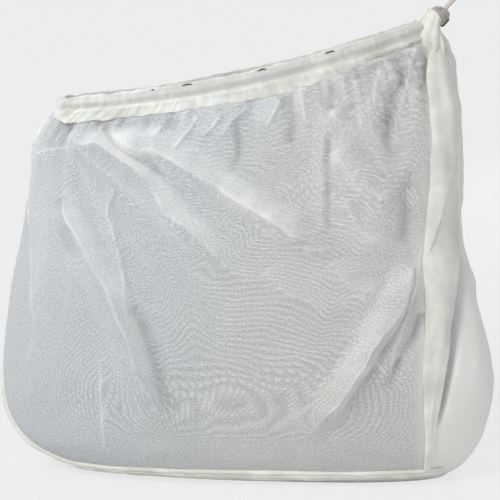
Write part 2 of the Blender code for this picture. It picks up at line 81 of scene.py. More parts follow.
HEM_BELOW_STITCHES = 0.0132
WALL_TOP = RIM_HEIGHT - HEM_HEIGHT - GAP
SIDE_SEAM_X = ((0.0, 0.215), (0.10, 0.214), (0.30, 0.209), (0.39, 0.205), (0.446, 0.182))

# Cut of the net before it was sewn: one piece folded at the left side
CLOTH_WIDTH = 1.22
CLOTH_LENGTH = 0.61

# Casing, drawcord and lock, as the CAD has them
CORD_DIAMETER = 0.0045
TUBE_RADIUS = 0.00335
CASING_INSIDE = -0.0004
TUBE_DROP = 0.0075
CASING_END_GAP = 0.003
CORD_WAY = Vector((0.67, 0.0, 0.743)).normalized()
LOCK_AXIS = Vector((-CORD_WAY.z, 0.0, CORD_WAY.x))
LOCK_HOLE = Vector((0.214, 0.0, 0.5355))
STRAND_PITCH = CORD_DIAMETER + 0.0004
STRAND_STRAIGHT_FROM = -0.0095
STRAND_HANDLES = (0.005, 0.007)
KNOT_DISTANCE = 0.052
KNOT_LENGTH = 0.015


# ---- Numbers and the bag's surface -----------------------------------------------------------


def smooth(low, high, value):
    """0 below low, 1 above high, and a soft step between."""
    t = np.clip((value - low) / (high - low), 0.0, 1.0)
    return t * t * (3 - 2 * t)


def unit(vectors):
    """Vectors made one long."""
    return vectors / np.maximum(np.linalg.norm(vectors, axis=-1, keepdims=True), 1e-12)


def read_table(table, at):
    """A table's columns at many positions, on smooth curves through its rows."""
    rows = np.array(table, float)
    last = len(rows) - 1
    at = np.clip(np.asarray(at, float), rows[0, 0], rows[last, 0])
    row = np.clip(np.searchsorted(rows[:, 0], at, side="right") - 1, 0, last - 1)
    before, start, end, after = (rows[np.clip(row + i, 0, last)] for i in (-1, 0, 1, 2))
    span = end[..., :1] - start[..., :1]
    t = (at - start[..., 0])[..., None] / span
    slope_in = (end - before) / (end[..., :1] - before[..., :1]) * span
    slope_out = (after - start) / (after[..., :1] - start[..., :1]) * span
    values = start * (2 * t**3 - 3 * t**2 + 1) + slope_in * (t**3 - 2 * t**2 + t)
    return (values + end * (3 * t**2 - 2 * t**3) + slope_out * (t**3 - t**2))[..., 1:]


def roundness(level):
    """The power that rounds a level's corners: 1 is an ellipse, less is squarer."""
    share = np.asarray(level) / RIM_HEIGHT
    return 2.0 / (BASE_SQUARENESS + (MOUTH_SQUARENESS - BASE_SQUARENESS) * share)


def bag_surface(level, angle):
    """Points of the plain bag. Angle pi is the left fold, 1.5 pi the front, 2 pi the right."""
    level, angle = np.broadcast_arrays(np.asarray(level, float), np.asarray(angle, float))
    outline = read_table(OUTLINE, level)
    left, right, front, back = (outline[..., i] for i in range(4))
    share = level / RIM_HEIGHT
    power = roundness(level)
    along, across = np.cos(angle), np.sin(angle)
    x = (left + right) / 2 + (right - left) / 2 * np.sign(along) * np.abs(along) ** power
    w = np.clip((x - left) / (right - left), 0.0, 1.0)
    depth = np.where(across > 0, back, front)
    y = np.sign(across) * depth * np.abs(across) ** power
    y = y + MIDLINE_TURN * (1 - share) * (1 - 2 * w)
    z = level * (1 + (RIGHT_TO_LEFT_HEIGHT - 1) * w) - RIM_SAG * share**3 * 4 * w * (1 - w)
    return np.stack([x, y, z], axis=-1)


def surface_normals(level, angle):
    """Unit normals of the plain bag, outward."""
    step = 0.002
    turn = bag_surface(level, angle + step) - bag_surface(level, angle - step)
    low, high = np.maximum(level - step, 0.0), np.minimum(level + step, RIM_HEIGHT)
    return unit(np.cross(turn, bag_surface(high, angle) - bag_surface(low, angle)))


def front_angle(level, x):
    """The angle on the front at which a level reaches an x."""
    outline = read_table(OUTLINE, level)
    left, right = outline[..., 0], outline[..., 1]
    along = np.clip((x - (left + right) / 2) / ((right - left) / 2), -0.998, 0.998)
    along = np.sign(along) * np.abs(along) ** (1 / roundness(level))
    return 2 * math.pi - np.arccos(along)


def seam_angle(level):
    """Where the side seam crosses a level, on the front near the right side."""
    return front_angle(level, read_table(SIDE_SEAM_X, level)[..., 0])


def lengths_along(points):
    """How far along a row of points each of them lies."""
    steps = np.linalg.norm(np.diff(points, axis=0), axis=1)
    return np.concatenate([[0], np.cumsum(steps)])


def noise_at(points, scale, seed):
    """Smooth noise from -1 to 1 at many points."""
    flat = np.asarray(points, float).reshape(-1, 3) / scale + seed
    values = np.array([noise.noise(Vector(p)) for p in flat])
    return values.reshape(np.asarray(points).shape[:-1])


def noise_over(first, second, third, seed):
    """Smooth noise over three fields, which are its coordinates."""
    return noise_at(np.stack(np.broadcast_arrays(first, second, third), -1), 1.0, seed)


# ---- Folds -----------------------------------------------------------------------------------

# Main folds, as the CAD has them: the (x, z) points in mm that each runs through, and in metres
# how far it stands out and its half width
FRONT_FOLDS = (
    (((-145, 415), (-95, 389), (-21, 349), (59, 300), (120, 275)), 0.0100, 0.028),
    (((-198, 413), (-146, 380), (-101, 341), (-52, 292), (20, 232)), 0.0090, 0.025),
    (((-210, 330), (-184, 280), (-145, 207), (-120, 129), (-90, 68)), 0.0095, 0.029),
    (((188, 262), (162, 213), (122, 149), (58, 58)), 0.0095, 0.026),
    (((95, 455), (105, 400), (145, 345), (166, 290)), 0.0070, 0.027),
)
BACK_FOLDS = (
    (((165, 470), (80, 370), (-20, 270), (-100, 200)), 0.0100, 0.031),
    (((210, 420), (180, 290), (130, 170), (95, 80)), 0.0090, 0.030),
    (((-195, 400), (-135, 300), (-80, 190), (-50, 100)), 0.0105, 0.031),
)
FOLD_START = 0.15
FOLD_FADE = 0.70
CLEAR_OF_CASING = 0.030
CLEAR_OF_FOOT = (0.020, 0.060)
CLEAR_OF_SEAM = (0.016, 0.038)
CLEAR_OF_LEFT_FOLD = (0.004, 0.030)

# Creases: a line's (x, z) points in mm, then in metres how far the net stands out along it, the
# widths of its upper or right flank and of its other flank, and how far it leans over that other
# flank, and last how strong the painted highlight on its crest line is and, where it isn't the
# usual strength, the painted highlight on the strip beside it
# Painted highlight on the strip beside each crease, on its wider flank
STRIP_HIGHLIGHT = 0.14
FRONT_CREASES = (
    # Upper diagonal fold: its S-shaped start, its light upper edge and its middle
    (((-145, 415), (-141, 401), (-121, 393), (-95, 389), (-56, 368), (-21, 349), (27, 320),
      (59, 300), (93, 287)),
     0.0030, 0.011, 0.008, 0.0030, 0.50, 0.62),
    (((-30, 354), (4, 335), (27, 321), (59, 298)), 0.0016, 0.005, 0.007, 0.0012, 1.00, 0.30),
    # Lower diagonal fold
    (((-197, 414), (-193, 404), (-182, 399), (-163, 399), (-146, 388), (-121, 372), (-101, 351),
      (-87, 326), (-62, 309), (-35, 284), (-13, 262), (27, 240)),
     0.0032, 0.010, 0.007, 0.0026, 0.62, 0.48),
    (((-164, 417), (-160, 403), (-154, 393), (-141, 388)),
     0.0020, 0.005, 0.004, 0.0010, 0.50),
    # Long crease down the left, and the shorter one that runs into it
    (((-207, 347), (-202, 322), (-184, 296), (-167, 264), (-152, 240), (-139, 207), (-128, 182),
      (-123, 156), (-114, 129), (-103, 105), (-84, 68)),
     0.0030, 0.010, 0.006, 0.0026, 0.90),
    (((-146, 348), (-153, 333), (-155, 319), (-150, 303), (-145, 280), (-138, 249), (-133, 221),
      (-128, 193)),
     0.0028, 0.006, 0.008, -0.0022, 0.90),
    (((-165, 160), (-164, 108), (-162, 36)), 0.0014, 0.004, 0.003, 0.0006, 0.70),
    (((-240, 383), (-209, 391), (-178, 392)), 0.0016, 0.004, 0.005, 0.0008, 0.60),
    (((-246, 330), (-243, 274), (-241, 230), (-241, 172), (-262, 127)),
     0.0030, 0.012, 0.007, 0.0018, 0.50),
    # Lower right folds, from the side seam down to the left
    (((188, 268), (182, 252), (177, 235), (166, 213), (151, 194), (135, 172), (122, 149),
      (108, 126), (91, 102), (78, 82), (58, 58)),
     0.0036, 0.006, 0.009, -0.0028, 1.00, 0.04),
    (((134, 160), (118, 134), (100, 104), (89, 90)), 0.0018, 0.005, 0.006, -0.0012, 0.70),
    (((200, 298), (196, 270), (191, 240), (183, 213), (174, 187), (167, 165), (161, 140),
      (156, 119)),
     0.0036, 0.005, 0.008, 0.0028, 1.00, 0.02),
    # Upright folds at the right, and the slack cloth that hangs between them
    (((86, 412), (86, 360), (86, 295)), 0.0026, 0.003, 0.012, 0.0020, 0.30),
    (((65, 288), (79, 285), (95, 288)), 0.0020, 0.004, 0.005, 0.0008, 0.60),
    (((93, 432), (115, 413), (137, 395), (161, 364)), 0.0022, 0.007, 0.007, 0.0010, 0.45),
    (((115, 433), (137, 413), (165, 378)), 0.0018, 0.006, 0.006, 0.0010, 0.35),
    (((98, 392), (115, 365), (139, 333)), 0.0022, 0.007, 0.007, 0.0010, 0.35),
    (((120, 370), (137, 348), (162, 337)), 0.0018, 0.006, 0.006, 0.0010, 0.35),
    (((109, 338), (131, 300), (169, 282)), 0.0024, 0.008, 0.008, 0.0012, 0.40),
    (((93, 271), (117, 245), (154, 237)), 0.0024, 0.009, 0.009, 0.0012, 0.35),
    (((150, 478), (143, 455), (146, 425)), 0.0026, 0.008, 0.006, 0.0014, 0.45),
    (((191, 505), (181, 480)), 0.0030, 0.005, 0.006, 0.0016, 0.60),
    # Small folds under the casing
    (((-54, 429), (-82, 391)), 0.0026, 0.004, 0.006, -0.0014, 0.85),
    (((-27, 432), (-51, 405)), 0.0024, 0.004, 0.006, -0.0012, 0.75),
    (((4, 440), (-14, 424), (-35, 402)), 0.0022, 0.005, 0.006, -0.0010, 0.60),
    (((37, 445), (21, 413)), 0.0026, 0.004, 0.007, -0.0014, 0.85),
    (((60, 462), (65, 429), (73, 417)), 0.0024, 0.004, 0.006, 0.0012, 0.80),
    (((-96, 417), (-105, 402)), 0.0020, 0.004, 0.005, -0.0010, 0.55),
    (((20, 262), (43, 240), (93, 218)), 0.0018, 0.010, 0.009, 0.0008, 0.30),
)
# Hollows: a line's (x, z) points in mm, how deep it is, its half width and how dark the painted shade
# along it is
FRONT_HOLLOWS = (
    (((-172, 419), (-161, 412), (-144, 396), (-127, 386), (-107, 379), (-94, 366), (-82, 355)),
     0.0040, 0.0075, 0.80),
    (((-126, 222), (-116, 190), (-104, 160), (-94, 124), (-79, 87)), 0.0030, 0.0100, 0.60),
    (((-210, 338), (-203, 305), (-186, 268)), 0.0020, 0.0090, 0.35),
    (((197, 215), (193, 204), (184, 179), (169, 151), (156, 122)), 0.0040, 0.0065, 0.85),
    (((188, 240), (178, 212), (163, 186), (147, 162), (133, 142), (118, 118), (104, 96)),
     0.0030, 0.0060, 0.62),
    (((93, 412), (92.5, 375), (94, 335), (93, 296)), 0.0026, 0.0048, 0.34),
    (((161, 498), (170, 480), (174, 464), (160, 446), (159, 418), (161, 391), (169, 376)),
     0.0050, 0.0100, 0.85),
    (((186, 372), (178, 348), (180, 323), (173, 280)), 0.0030, 0.0080, 0.50),
    (((117, 484), (124, 464)), 0.0030, 0.0080, 0.60),
    (((97, 467), (97, 448), (95, 429)), 0.0030, 0.0070, 0.65),
    (((-10, 426), (-7, 392), (-18, 359)), 0.0026, 0.0055, 0.34),
    (((-78, 432), (-86, 410)), 0.0020, 0.0060, 0.45),
    (((45, 450), (52, 420), (45, 395)), 0.0020, 0.0070, 0.40),
    (((205, 500), (200, 480), (196, 450)), 0.0030, 0.0060, 0.45),
    (((-207, 428), (-202, 418), (-195, 408)), 0.0030, 0.0050, 0.60),
)
# The deep valley beside the seam on the lower right, darkened with painted shade, its (x, z) points
# in mm
SEAM_VALLEY = (
    (248, 300), (246, 279), (243, 254), (237, 221), (233, 188),
    (227, 150), (221, 115), (217, 73),
)
SEAM_VALLEY_DEPTH = 0.012
SEAM_VALLEY_HALF = 0.0085
# The right side is close cloth: z, and the x it starts from there
CLOSE_CLOTH_FROM = ((0.0, 0.214), (0.10, 0.207), (0.25, 0.203), (0.42, 0.205), (0.55, 0.202))
# Where the net is held and small folds fan out from: x, z, folds a turn, height and reach
FOLD_CENTRES = (
    (-0.225, 0.425, 26.0, 0.0016, 0.30),
    (0.200, 0.530, 30.0, 0.0018, 0.26),
    (0.205, 0.270, 22.0, 0.0015, 0.22),
)


LINE_STEPS = 6


def spread_line(points, steps):
    """A smooth curve through points, as a closer row of points."""
    points = np.array(points, float)
    padded = np.concatenate([points[:1], points, points[-1:]])
    line = []
    for i in range(len(points) - 1):
        before, start, end, after = padded[i : i + 4]
        t = (np.arange(steps) / steps)[:, None]
        line.append(
            start * (2 * t**3 - 3 * t**2 + 1)
            + (end - before) / 2 * (t**3 - 2 * t**2 + t)
            + end * (3 * t**2 - 2 * t**3)
            + (after - start) / 2 * (t**3 - t**2)
        )
    line.append(points[-1:])
    return np.concatenate(line)


def line_distance(x, z, points, reach):
    """Near a line given in mm: distance from it, more than 0 on its right going down, the share
    of it passed, and the direction across it. Farther away than reach the distance is 1."""
    line = spread_line(np.array(points) / 1000, LINE_STEPS)
    away = np.ones(x.shape)
    share = np.zeros(x.shape)
    across_x, across_z = np.zeros(x.shape), np.zeros(x.shape)
    low, high = line.min(axis=0) - reach, line.max(axis=0) + reach
    near = (x > low[0]) & (x < high[0]) & (z > low[1]) & (z < high[1])
    px, pz = x[near], z[near]
    best = np.full(px.shape, 1.0)
    count = len(line) - 1
    found = [np.ones(px.shape), np.zeros(px.shape), np.zeros(px.shape), np.zeros(px.shape)]
    for i in range(count):
        ax, az = line[i]
        dx, dz = line[i + 1] - line[i]
        length = math.hypot(dx, dz)
        t = np.clip(((px - ax) * dx + (pz - az) * dz) / length**2, 0.0, 1.0)
        far = np.hypot(px - ax - t * dx, pz - az - t * dz)
        nearer = far < best
        best = np.where(nearer, far, best)
        sign = np.where(dx * (pz - az) - dz * (px - ax) >= 0, 1.0, -1.0)
        for k, value in enumerate((far * sign, (i + t) / count, -dz / length, dx / length)):
            found[k] = np.where(nearer, value, found[k])
    away[near], share[near], across_x[near], across_z[near] = found
    return away, share, across_x, across_z


def main_fold_height(level, angle, points):
    """How far the net stands out in the main folds that the CAD has as well."""
    x, z = points[..., 0], points[..., 2]
    front = np.sin(angle) < 0
    height = np.zeros(x.shape)
    for on_front, folds in ((True, FRONT_FOLDS), (False, BACK_FOLDS)):
        for line, rise, half_width in folds:
            away, share, _, _ = line_distance(x, z, line, half_width)
            ridge = np.clip(1.0 - (away / half_width) ** 2, 0.0, 1.0) ** 2
            ends = smooth(0.0, FOLD_START, share) * (1.0 - smooth(FOLD_FADE, 1.0, share))
            height = np.where(front == on_front, np.maximum(height, rise * ridge * ends), height)
    seam = np.linalg.norm(points - bag_surface(level, seam_angle(level)), axis=-1)
    left = np.linalg.norm(points - bag_surface(level, math.pi), axis=-1)
    height = height * smooth(*CLEAR_OF_SEAM, seam) * smooth(*CLEAR_OF_LEFT_FOLD, left)
    return height * smooth(*CLEAR_OF_FOOT, level) * smooth(0.0, CLEAR_OF_CASING, WALL_TOP - level)


# Small folds that fan out, with painted highlight on their ridges and painted shade in their troughs,
# and the painted highlight on a crease's crest line
FAN_RISE = 0.0015
FAN_HIGHLIGHT = 0.12
FAN_SHADE = 0.14
BACK_FANS = 1.5
CREST_HALF = 0.0014
CREST_HIGHLIGHT = 0.74
# How the lines wander and the cloth crumples: height, size and seed of each noise
WANDER = ((0.0022, 0.040, 3.1), (0.0010, 0.014, 8.2))
CRUMPLE = ((0.0018, 0.055, 1.7), (0.0007, 0.018, 4.4))
# The back has the front's creases mirrored, a little out of step and weaker
BACK_X = (0.012, 0.97)
BACK_Z = (0.98, 0.076)
BACK_STRENGTH = 0.8
# Pleats under the casing: height, how far down they fade, and how strong the painted highlight on
# their ridges and the painted shade in their troughs are
PLEAT_RISE = 0.0034
PLEAT_FADE = 0.040
PLEAT_HIGHLIGHT = 0.40
PLEAT_SHADE = 0.55
# The net is flat up to this far from where it is sewn at its top and at its foot
SEWN_TOP = 0.006
SEWN_FOOT = (0.006, 0.040)


def fan_heights(x, z, seed):
    """Height of the many small folds that fan out from where the net is held."""
    height = np.zeros(x.shape)
    for i, (cx, cz, count, rise, reach) in enumerate(FOLD_CENTRES):
        away = np.hypot(x - cx, z - cz)
        turn = np.arctan2(z - cz, x - cx)
        wave = 1 - 2 * np.abs(noise_over(turn * count / 6, away / reach * 2.2, i + seed, 0.37))
        envelope = smooth(0.0, 0.09, away) * (1 - smooth(reach * 0.5, reach, away))
        height += rise * envelope * wave
    return height


class Folds:
    """Fields over the net: height out of the surface, sideways lean, lightness (painted highlight on
    crests and ridges) and darkness (painted shade in hollows and troughs).
    """

    def __init__(self, level, angle, points, raised):
        self.points = points
        self.x, self.z = points[..., 0], points[..., 2]
        self.front = np.sin(angle) < 0
        shape = self.x.shape
        wander = sum(rise * noise_at(points, size, seed) for rise, size, seed in WANDER)
        near_x, near_z = self.x + wander, self.z - wander
        self.height = main_fold_height(level, angle, points)
        self.lean_x, self.lean_z = np.zeros(shape), np.zeros(shape)
        self.light, self.dark = np.zeros(shape), np.zeros(shape)
        self.place_x = np.where(self.front, near_x, BACK_X[0] - near_x * BACK_X[1])
        self.place_z = np.where(self.front, near_z, near_z * BACK_Z[0] + BACK_Z[1] * near_x)
        self.strength = np.where(self.front, 1.0, BACK_STRENGTH)
        self.uneven = 0.75 + 0.7 * noise_at(points, 0.020, 6.6)
        for crease in FRONT_CREASES:
            self.add_crease(*crease)
        for hollow_painted_shade in FRONT_HOLLOWS:
            self.add_hollow(*hollow_painted_shade)
        self.add_valley()
        back_fans = BACK_FANS * fan_heights(-self.x, self.z, 7.5)
        fans = np.where(self.front, fan_heights(self.x, self.z, 1.2), back_fans)
        self.height += fans
        # Painted highlight on the fans' ridges and painted shade in their troughs
        self.light += FAN_HIGHLIGHT * smooth(0.35, 1.0, fans / FAN_RISE)
        self.dark += FAN_SHADE * smooth(0.30, 1.1, -fans / FAN_RISE)
        self.hold(level, angle, raised)

    def add_crease(self, line, rise, right_width, left_width, lean, light, strip=STRIP_HIGHLIGHT):
        reach = 3.6 * max(right_width, left_width)
        away, share, across_x, across_z = line_distance(self.place_x, self.place_z, line, reach)
        ends = smooth(0.0, 0.10, share) * (1 - smooth(0.72, 1.0, share)) * self.strength
        width = np.where(away > 0, right_width, left_width)
        fall = np.exp(-((np.abs(away) / width) ** 1.35))
        self.height += rise * ends * fall
        mirror = np.where(self.front, 1.0, -1.0)
        self.lean_x -= lean * ends * fall * across_x * mirror
        self.lean_z -= lean * ends * fall * across_z
        # Painted highlight: a fine bright line along the crest, and a paler strip on its wider flank
        wide = np.where(width >= max(right_width, left_width), 1.7, 0.5) * width
        core = CREST_HIGHLIGHT * light * np.exp(-((away / CREST_HALF) ** 2))
        beside = strip * np.exp(-((away / wide) ** 2))
        self.light += ends * (core + beside) * self.uneven

    def add_hollow(self, line, depth, half_width, dark):
        away, share, _, _ = line_distance(self.place_x, self.place_z, line, 3 * half_width)
        ends = smooth(0.0, 0.14, share) * (1 - smooth(0.78, 1.0, share)) * self.strength
        fall = np.exp(-((np.abs(away) / half_width) ** 2))
        self.height -= depth * ends * fall
        # Painted shade along the hollow
        self.dark += 0.85 * dark * ends * fall * np.clip(self.uneven, 0.3, 1.2)

    def add_valley(self):
        away, share, _, _ = line_distance(self.x, self.z, SEAM_VALLEY, 3 * SEAM_VALLEY_HALF)
        ends = smooth(0.0, 0.25, share) * (1 - smooth(0.86, 1.0, share)) * self.front
        width = SEAM_VALLEY_HALF * (0.55 + 0.75 * np.sin(math.pi * np.clip(share, 0, 1)))
        fall = np.exp(-((np.abs(away) / width) ** 2.6))
        self.height -= SEAM_VALLEY_DEPTH * ends * fall
        # Painted shade along the valley
        self.dark += 0.9 * ends * fall

    def hold(self, level, angle, raised):
        """Pleats under the casing, with painted highlight on their ridges and painted shade in their
        troughs, soft crumple, and flat where the net is sewn.
        """
        round_way = np.stack([angle * 11.0, level / 0.09, np.zeros(self.x.shape)], -1)
        pleats = noise_at(round_way, 1.0, 5.3) + 0.7 * noise_at(round_way, 0.42, 9.1)
        under = WALL_TOP + raised[None] - level
        near = np.exp(-np.maximum(under, 0) / PLEAT_FADE) * smooth(0, SEWN_TOP, under)
        self.height += PLEAT_RISE * pleats * near
        self.light += PLEAT_HIGHLIGHT * np.clip(pleats, 0, 1) * near
        self.dark += PLEAT_SHADE * np.clip(-pleats, 0, 1) * near
        for rise, size, seed in CRUMPLE:
            self.height += rise * noise_at(self.points, size, seed)
        held = smooth(0.0, SEWN_TOP, under + 0.002) * smooth(*SEWN_FOOT, level)
        for field in (self.height, self.lean_x, self.lean_z):
            field *= held
        self.light = np.clip(self.light * held, 0, 1)
        self.dark = np.clip(self.dark * held, 0, 1)


# ---- Meshes ----------------------------------------------------------------------------------


def add_object(name, data):
    made = bpy.data.objects.new(name, data)
    bpy.context.scene.collection.objects.link(made)
    return made


def mesh_object(name, points, faces, surface, uvs=None, marks=None):
    """A smooth-shaded mesh object from numpy points, faces, cloth coordinates and marks."""
    mesh = bpy.data.meshes.new(name)
    mesh.from_pydata(np.asarray(points).reshape(-1, 3).tolist(), [], faces)
    mesh.materials.append(surface)
    mesh.shade_smooth()
    if uvs is not None:
        layer = mesh.uv_layers.new(name="cloth")
        layer.data.foreach_set("uv", np.asarray(uvs, np.float32).ravel())
    for mark, values in (marks or {}).items():
        attribute = mesh.attributes.new(mark, "FLOAT", "POINT")
        attribute.data.foreach_set("value", np.asarray(values, np.float32).ravel())
    mesh.update()
    return add_object(name, mesh)


def grid_faces(rows, columns, closed=False, first=0):
    """Quads over a grid of points, joined round its columns where closed."""
    faces = []
    across = columns if closed else columns - 1
    for i in range(rows - 1):
        for j in range(across):
            k = (j + 1) % columns
            a = first + i * columns
            faces.append((a + j, a + k, a + columns + k, a + columns + j))
    return faces


NET_COLUMNS_FRONT = 470
NET_COLUMNS_BACK = 270
NET_ROWS = 300
NET_ROW_POWER = 1.04
NET_TUCK = 0.008
# How far the net lies inside the plain surface, and above the ground
NET_SET_IN = 0.0004
# The share of the cut cloth's length between the foot and the rim
CLOTH_SHOWN = 0.93
# How much of the hem below its stitches is left, by x: the casing narrows to the right
HEM_SHARE = (
    (-0.250, 0.55), (-0.205, 0.60), (-0.180, 1.0), (0.054, 1.0), (0.064, 0.78), (0.100, 0.52),
    (0.137, 0.22), (0.170, 0.12), (0.230, 0.10),
)
BASE_RINGS = 16
BASE_MIDDLE = 0.985
# Where the net is paler: how far from the left fold and from the side band's lower half, whose
# left edge has these z and x, how pale there, and between which heights that ends
EDGE_REACH, EDGE_PALE = 0.012, 0.45
BAND_REACH, BAND_PALE = 0.009, 0.55
BAND_LEFT_EDGE = ((0.018, 0.206), (0.115, 0.200), (0.190, 0.201), (0.250, 0.199), (0.300, 0.199))
BAND_PALE_END = (0.26, 0.33)
CLOSE_CLOTH_BLEND = 0.003


def net_angles(level):
    """Angles round the bag at one level, from the side seam over the back and left side to the
    seam again, closer on the front, and each one's share of the way."""
    seam = float(seam_angle(level))
    fine = np.linspace(seam, seam + 2 * math.pi, 1801)
    points = bag_surface(level, fine)
    lengths = lengths_along(points)
    turn = np.interp(3 * math.pi, fine, lengths)
    back = np.linspace(0, turn, NET_COLUMNS_BACK, endpoint=False)
    front = np.linspace(turn, lengths[-1], NET_COLUMNS_FRONT)
    stations = np.concatenate([back, front])
    return np.interp(stations, lengths, fine), stations / lengths[-1]


def net_bag(surface):
    """The net: one sheet sewn at the side seam, from the foot up into the casing, and turned
    under the bag."""
    levels = (WALL_TOP + NET_TUCK) * np.linspace(0, 1, NET_ROWS) ** NET_ROW_POWER
    angles, shares = (np.array(a) for a in zip(*[net_angles(level) for level in levels]))
    columns = angles.shape[1]
    # The net reaches higher where the casing over it is narrower
    top_x = bag_surface(WALL_TOP, angles[-1])[..., 0]
    raised = (1 - np.interp(top_x, *np.array(HEM_SHARE).T)) * HEM_BELOW_STITCHES
    grid = levels[:, None] * (1 + raised / levels[-1])[None]
    plain = bag_surface(grid, angles)
    folds = Folds(grid, angles, plain, raised)
    walls = plain + surface_normals(grid, angles) * (folds.height - NET_SET_IN)[..., None]
    walls[..., 0] += folds.lean_x
    walls[..., 2] += folds.lean_z
    walls[..., 2] = np.maximum(walls[..., 2], NET_SET_IN)
    # Where the net lies steeper than the plain surface it is bunched closer
    slope_row = np.gradient(folds.height, axis=0) / np.gradient(grid, axis=0)
    apart = np.linalg.norm(np.gradient(plain, axis=1), axis=-1)
    slope_column = np.gradient(folds.height, axis=1) / apart
    steep = np.sqrt(1 + slope_row**2 + slope_column**2) - 1
    x, z = plain[..., 0], plain[..., 2]
    left = np.linalg.norm(plain - bag_surface(grid, math.pi), axis=-1)
    pale_edge = EDGE_PALE * np.exp(-((left / EDGE_REACH) ** 2))
    from_band = np.maximum(np.interp(z, *np.array(BAND_LEFT_EDGE).T) - x, 0) / BAND_REACH
    lower = (plain[..., 1] < 0) * (1 - smooth(*BAND_PALE_END, z))
    pale_edge = pale_edge + BAND_PALE * np.exp(-(from_band**2)) * lower
    # Partly the closer, paler net where it is bunched or near its edges, and partly painted highlight
    # on the folds' crests, ridges and strips
    bunched_and_highlight = np.clip(smooth(0.03, 0.50, steep) * 0.5 + folds.light + pale_edge, 0, 1)
    dense_from = np.interp(z, *np.array(CLOSE_CLOTH_FROM).T)
    dense = smooth(-CLOSE_CLOTH_BLEND, CLOSE_CLOTH_BLEND, x - dense_from)
    foot = walls[0]
    middle = foot.mean(axis=0)
    rings = []
    for i in range(1, BASE_RINGS + 1):
        ring = middle + (foot - middle) * (1 - i / BASE_RINGS * BASE_MIDDLE)
        ring[:, 2] = NET_SET_IN
        rings.append(ring)
    points = np.concatenate([np.array(rings[::-1]), walls]).reshape(-1, 3)
    faces = grid_faces(BASE_RINGS + NET_ROWS, columns)
    under = BASE_RINGS * columns
    along = shares * CLOTH_WIDTH
    up = grid / RIM_HEIGHT * CLOTH_LENGTH * CLOTH_SHOWN
    flat = np.concatenate([points[:under, :2], np.stack([along, up], -1).reshape(-1, 2)])
    uvs = flat[np.array(faces)]
    none = np.zeros(under)
    # The first mark is partly the closer net where it is bunched and partly painted highlight; the
    # second is painted shade in hollows and troughs
    marks = {
        "bunched_and_highlight": np.concatenate([none, bunched_and_highlight.ravel()]),
        "hollow_painted_shade": np.concatenate([none, folds.dark.ravel()]),
        "dense": np.concatenate([none, dense.ravel()]),
    }
    return mesh_object("bag_net", points, faces, surface, uvs, marks)


def rim_frames(angles):
    """Points along the rim, their outward and upward directions and the hem's foot."""
    step = 0.01
    rim = bag_surface(RIM_HEIGHT, angles)
    foot = bag_surface(WALL_TOP + GAP, angles)
    along = bag_surface(RIM_HEIGHT, angles + step) - bag_surface(RIM_HEIGHT, angles - step)
    out = unit(np.cross(along, rim - foot))
    return rim, out, unit(np.cross(out, along)), foot


# The casing across its length: distance out from the rim and up from it, from the foot of the
# hem up its outer side, over the top and down its inner side
CASING_PROFILE = (
    (0.0007, -0.0290), (0.0012, -0.0277), (0.0022, -0.0240), (0.0031, -0.0200), (0.0029, -0.0165),
    (0.0016, -0.0148), (0.0030, -0.0128), (0.0056, -0.0102), (0.0064, -0.0075), (0.0054, -0.0046),
    (0.0034, -0.0026), (0.0026, -0.0008), (0.0018, 0.0004), (0.0008, 0.0002), (0.0000, -0.0020),
    (-0.0012, -0.0060), (-0.0012, -0.0100), (-0.0002, -0.0145), (-0.0004, -0.0210),
    (-0.0002, -0.0285),
)
CASING_STATIONS = 760
CASING_STITCH_ROW = -0.0148
# The tube follows the rim, and below this the hem leans out to the wall's top
HEM_TOP = 0.0115
# Slits at the casing's top where its layers part, dented in and darkened with painted shade: x along
# the front, and length
CASING_SLITS = ((-0.066, 0.013), (0.017, 0.012), (0.092, 0.013), (-0.104, 0.004))


def closed_strip(name, outer, inner, surface, cloth, marks=None):
    """A closed solid between two grids of points of the same size."""
    rows, columns = outer.shape[:2]
    total = rows * columns
    points = np.concatenate([outer.reshape(-1, 3), inner.reshape(-1, 3)])
    faces = grid_faces(rows, columns)
    faces += [tuple(reversed(face)) for face in grid_faces(rows, columns, first=total)]
    border = [(0, j) for j in range(columns)] + [(i, columns - 1) for i in range(1, rows)]
    border += [(rows - 1, j) for j in range(columns - 2, -1, -1)]
    border += [(i, 0) for i in range(rows - 2, 0, -1)]
    for (a, b), (c, d) in zip(border, border[1:] + border[:1]):
        p, q = a * columns + b, c * columns + d
        faces.append((q, p, total + p, total + q))
    flat = np.concatenate([cloth.reshape(-1, 2)] * 2)
    uvs = np.concatenate([flat[list(face)] for face in faces])
    return mesh_object(name, points, faces, surface, uvs, marks)


def rim_stations(count):
    """Angles evenly spaced along the rim, from the casing's front end to its back one."""
    end = math.asin(CASING_END_GAP / OUTLINE[-1][3])
    fine = np.linspace(2 * math.pi - end, end, 2400)
    lengths = lengths_along(bag_surface(RIM_HEIGHT, fine))
    stations = np.linspace(0, lengths[-1], count)
    return np.interp(stations, lengths, fine), stations


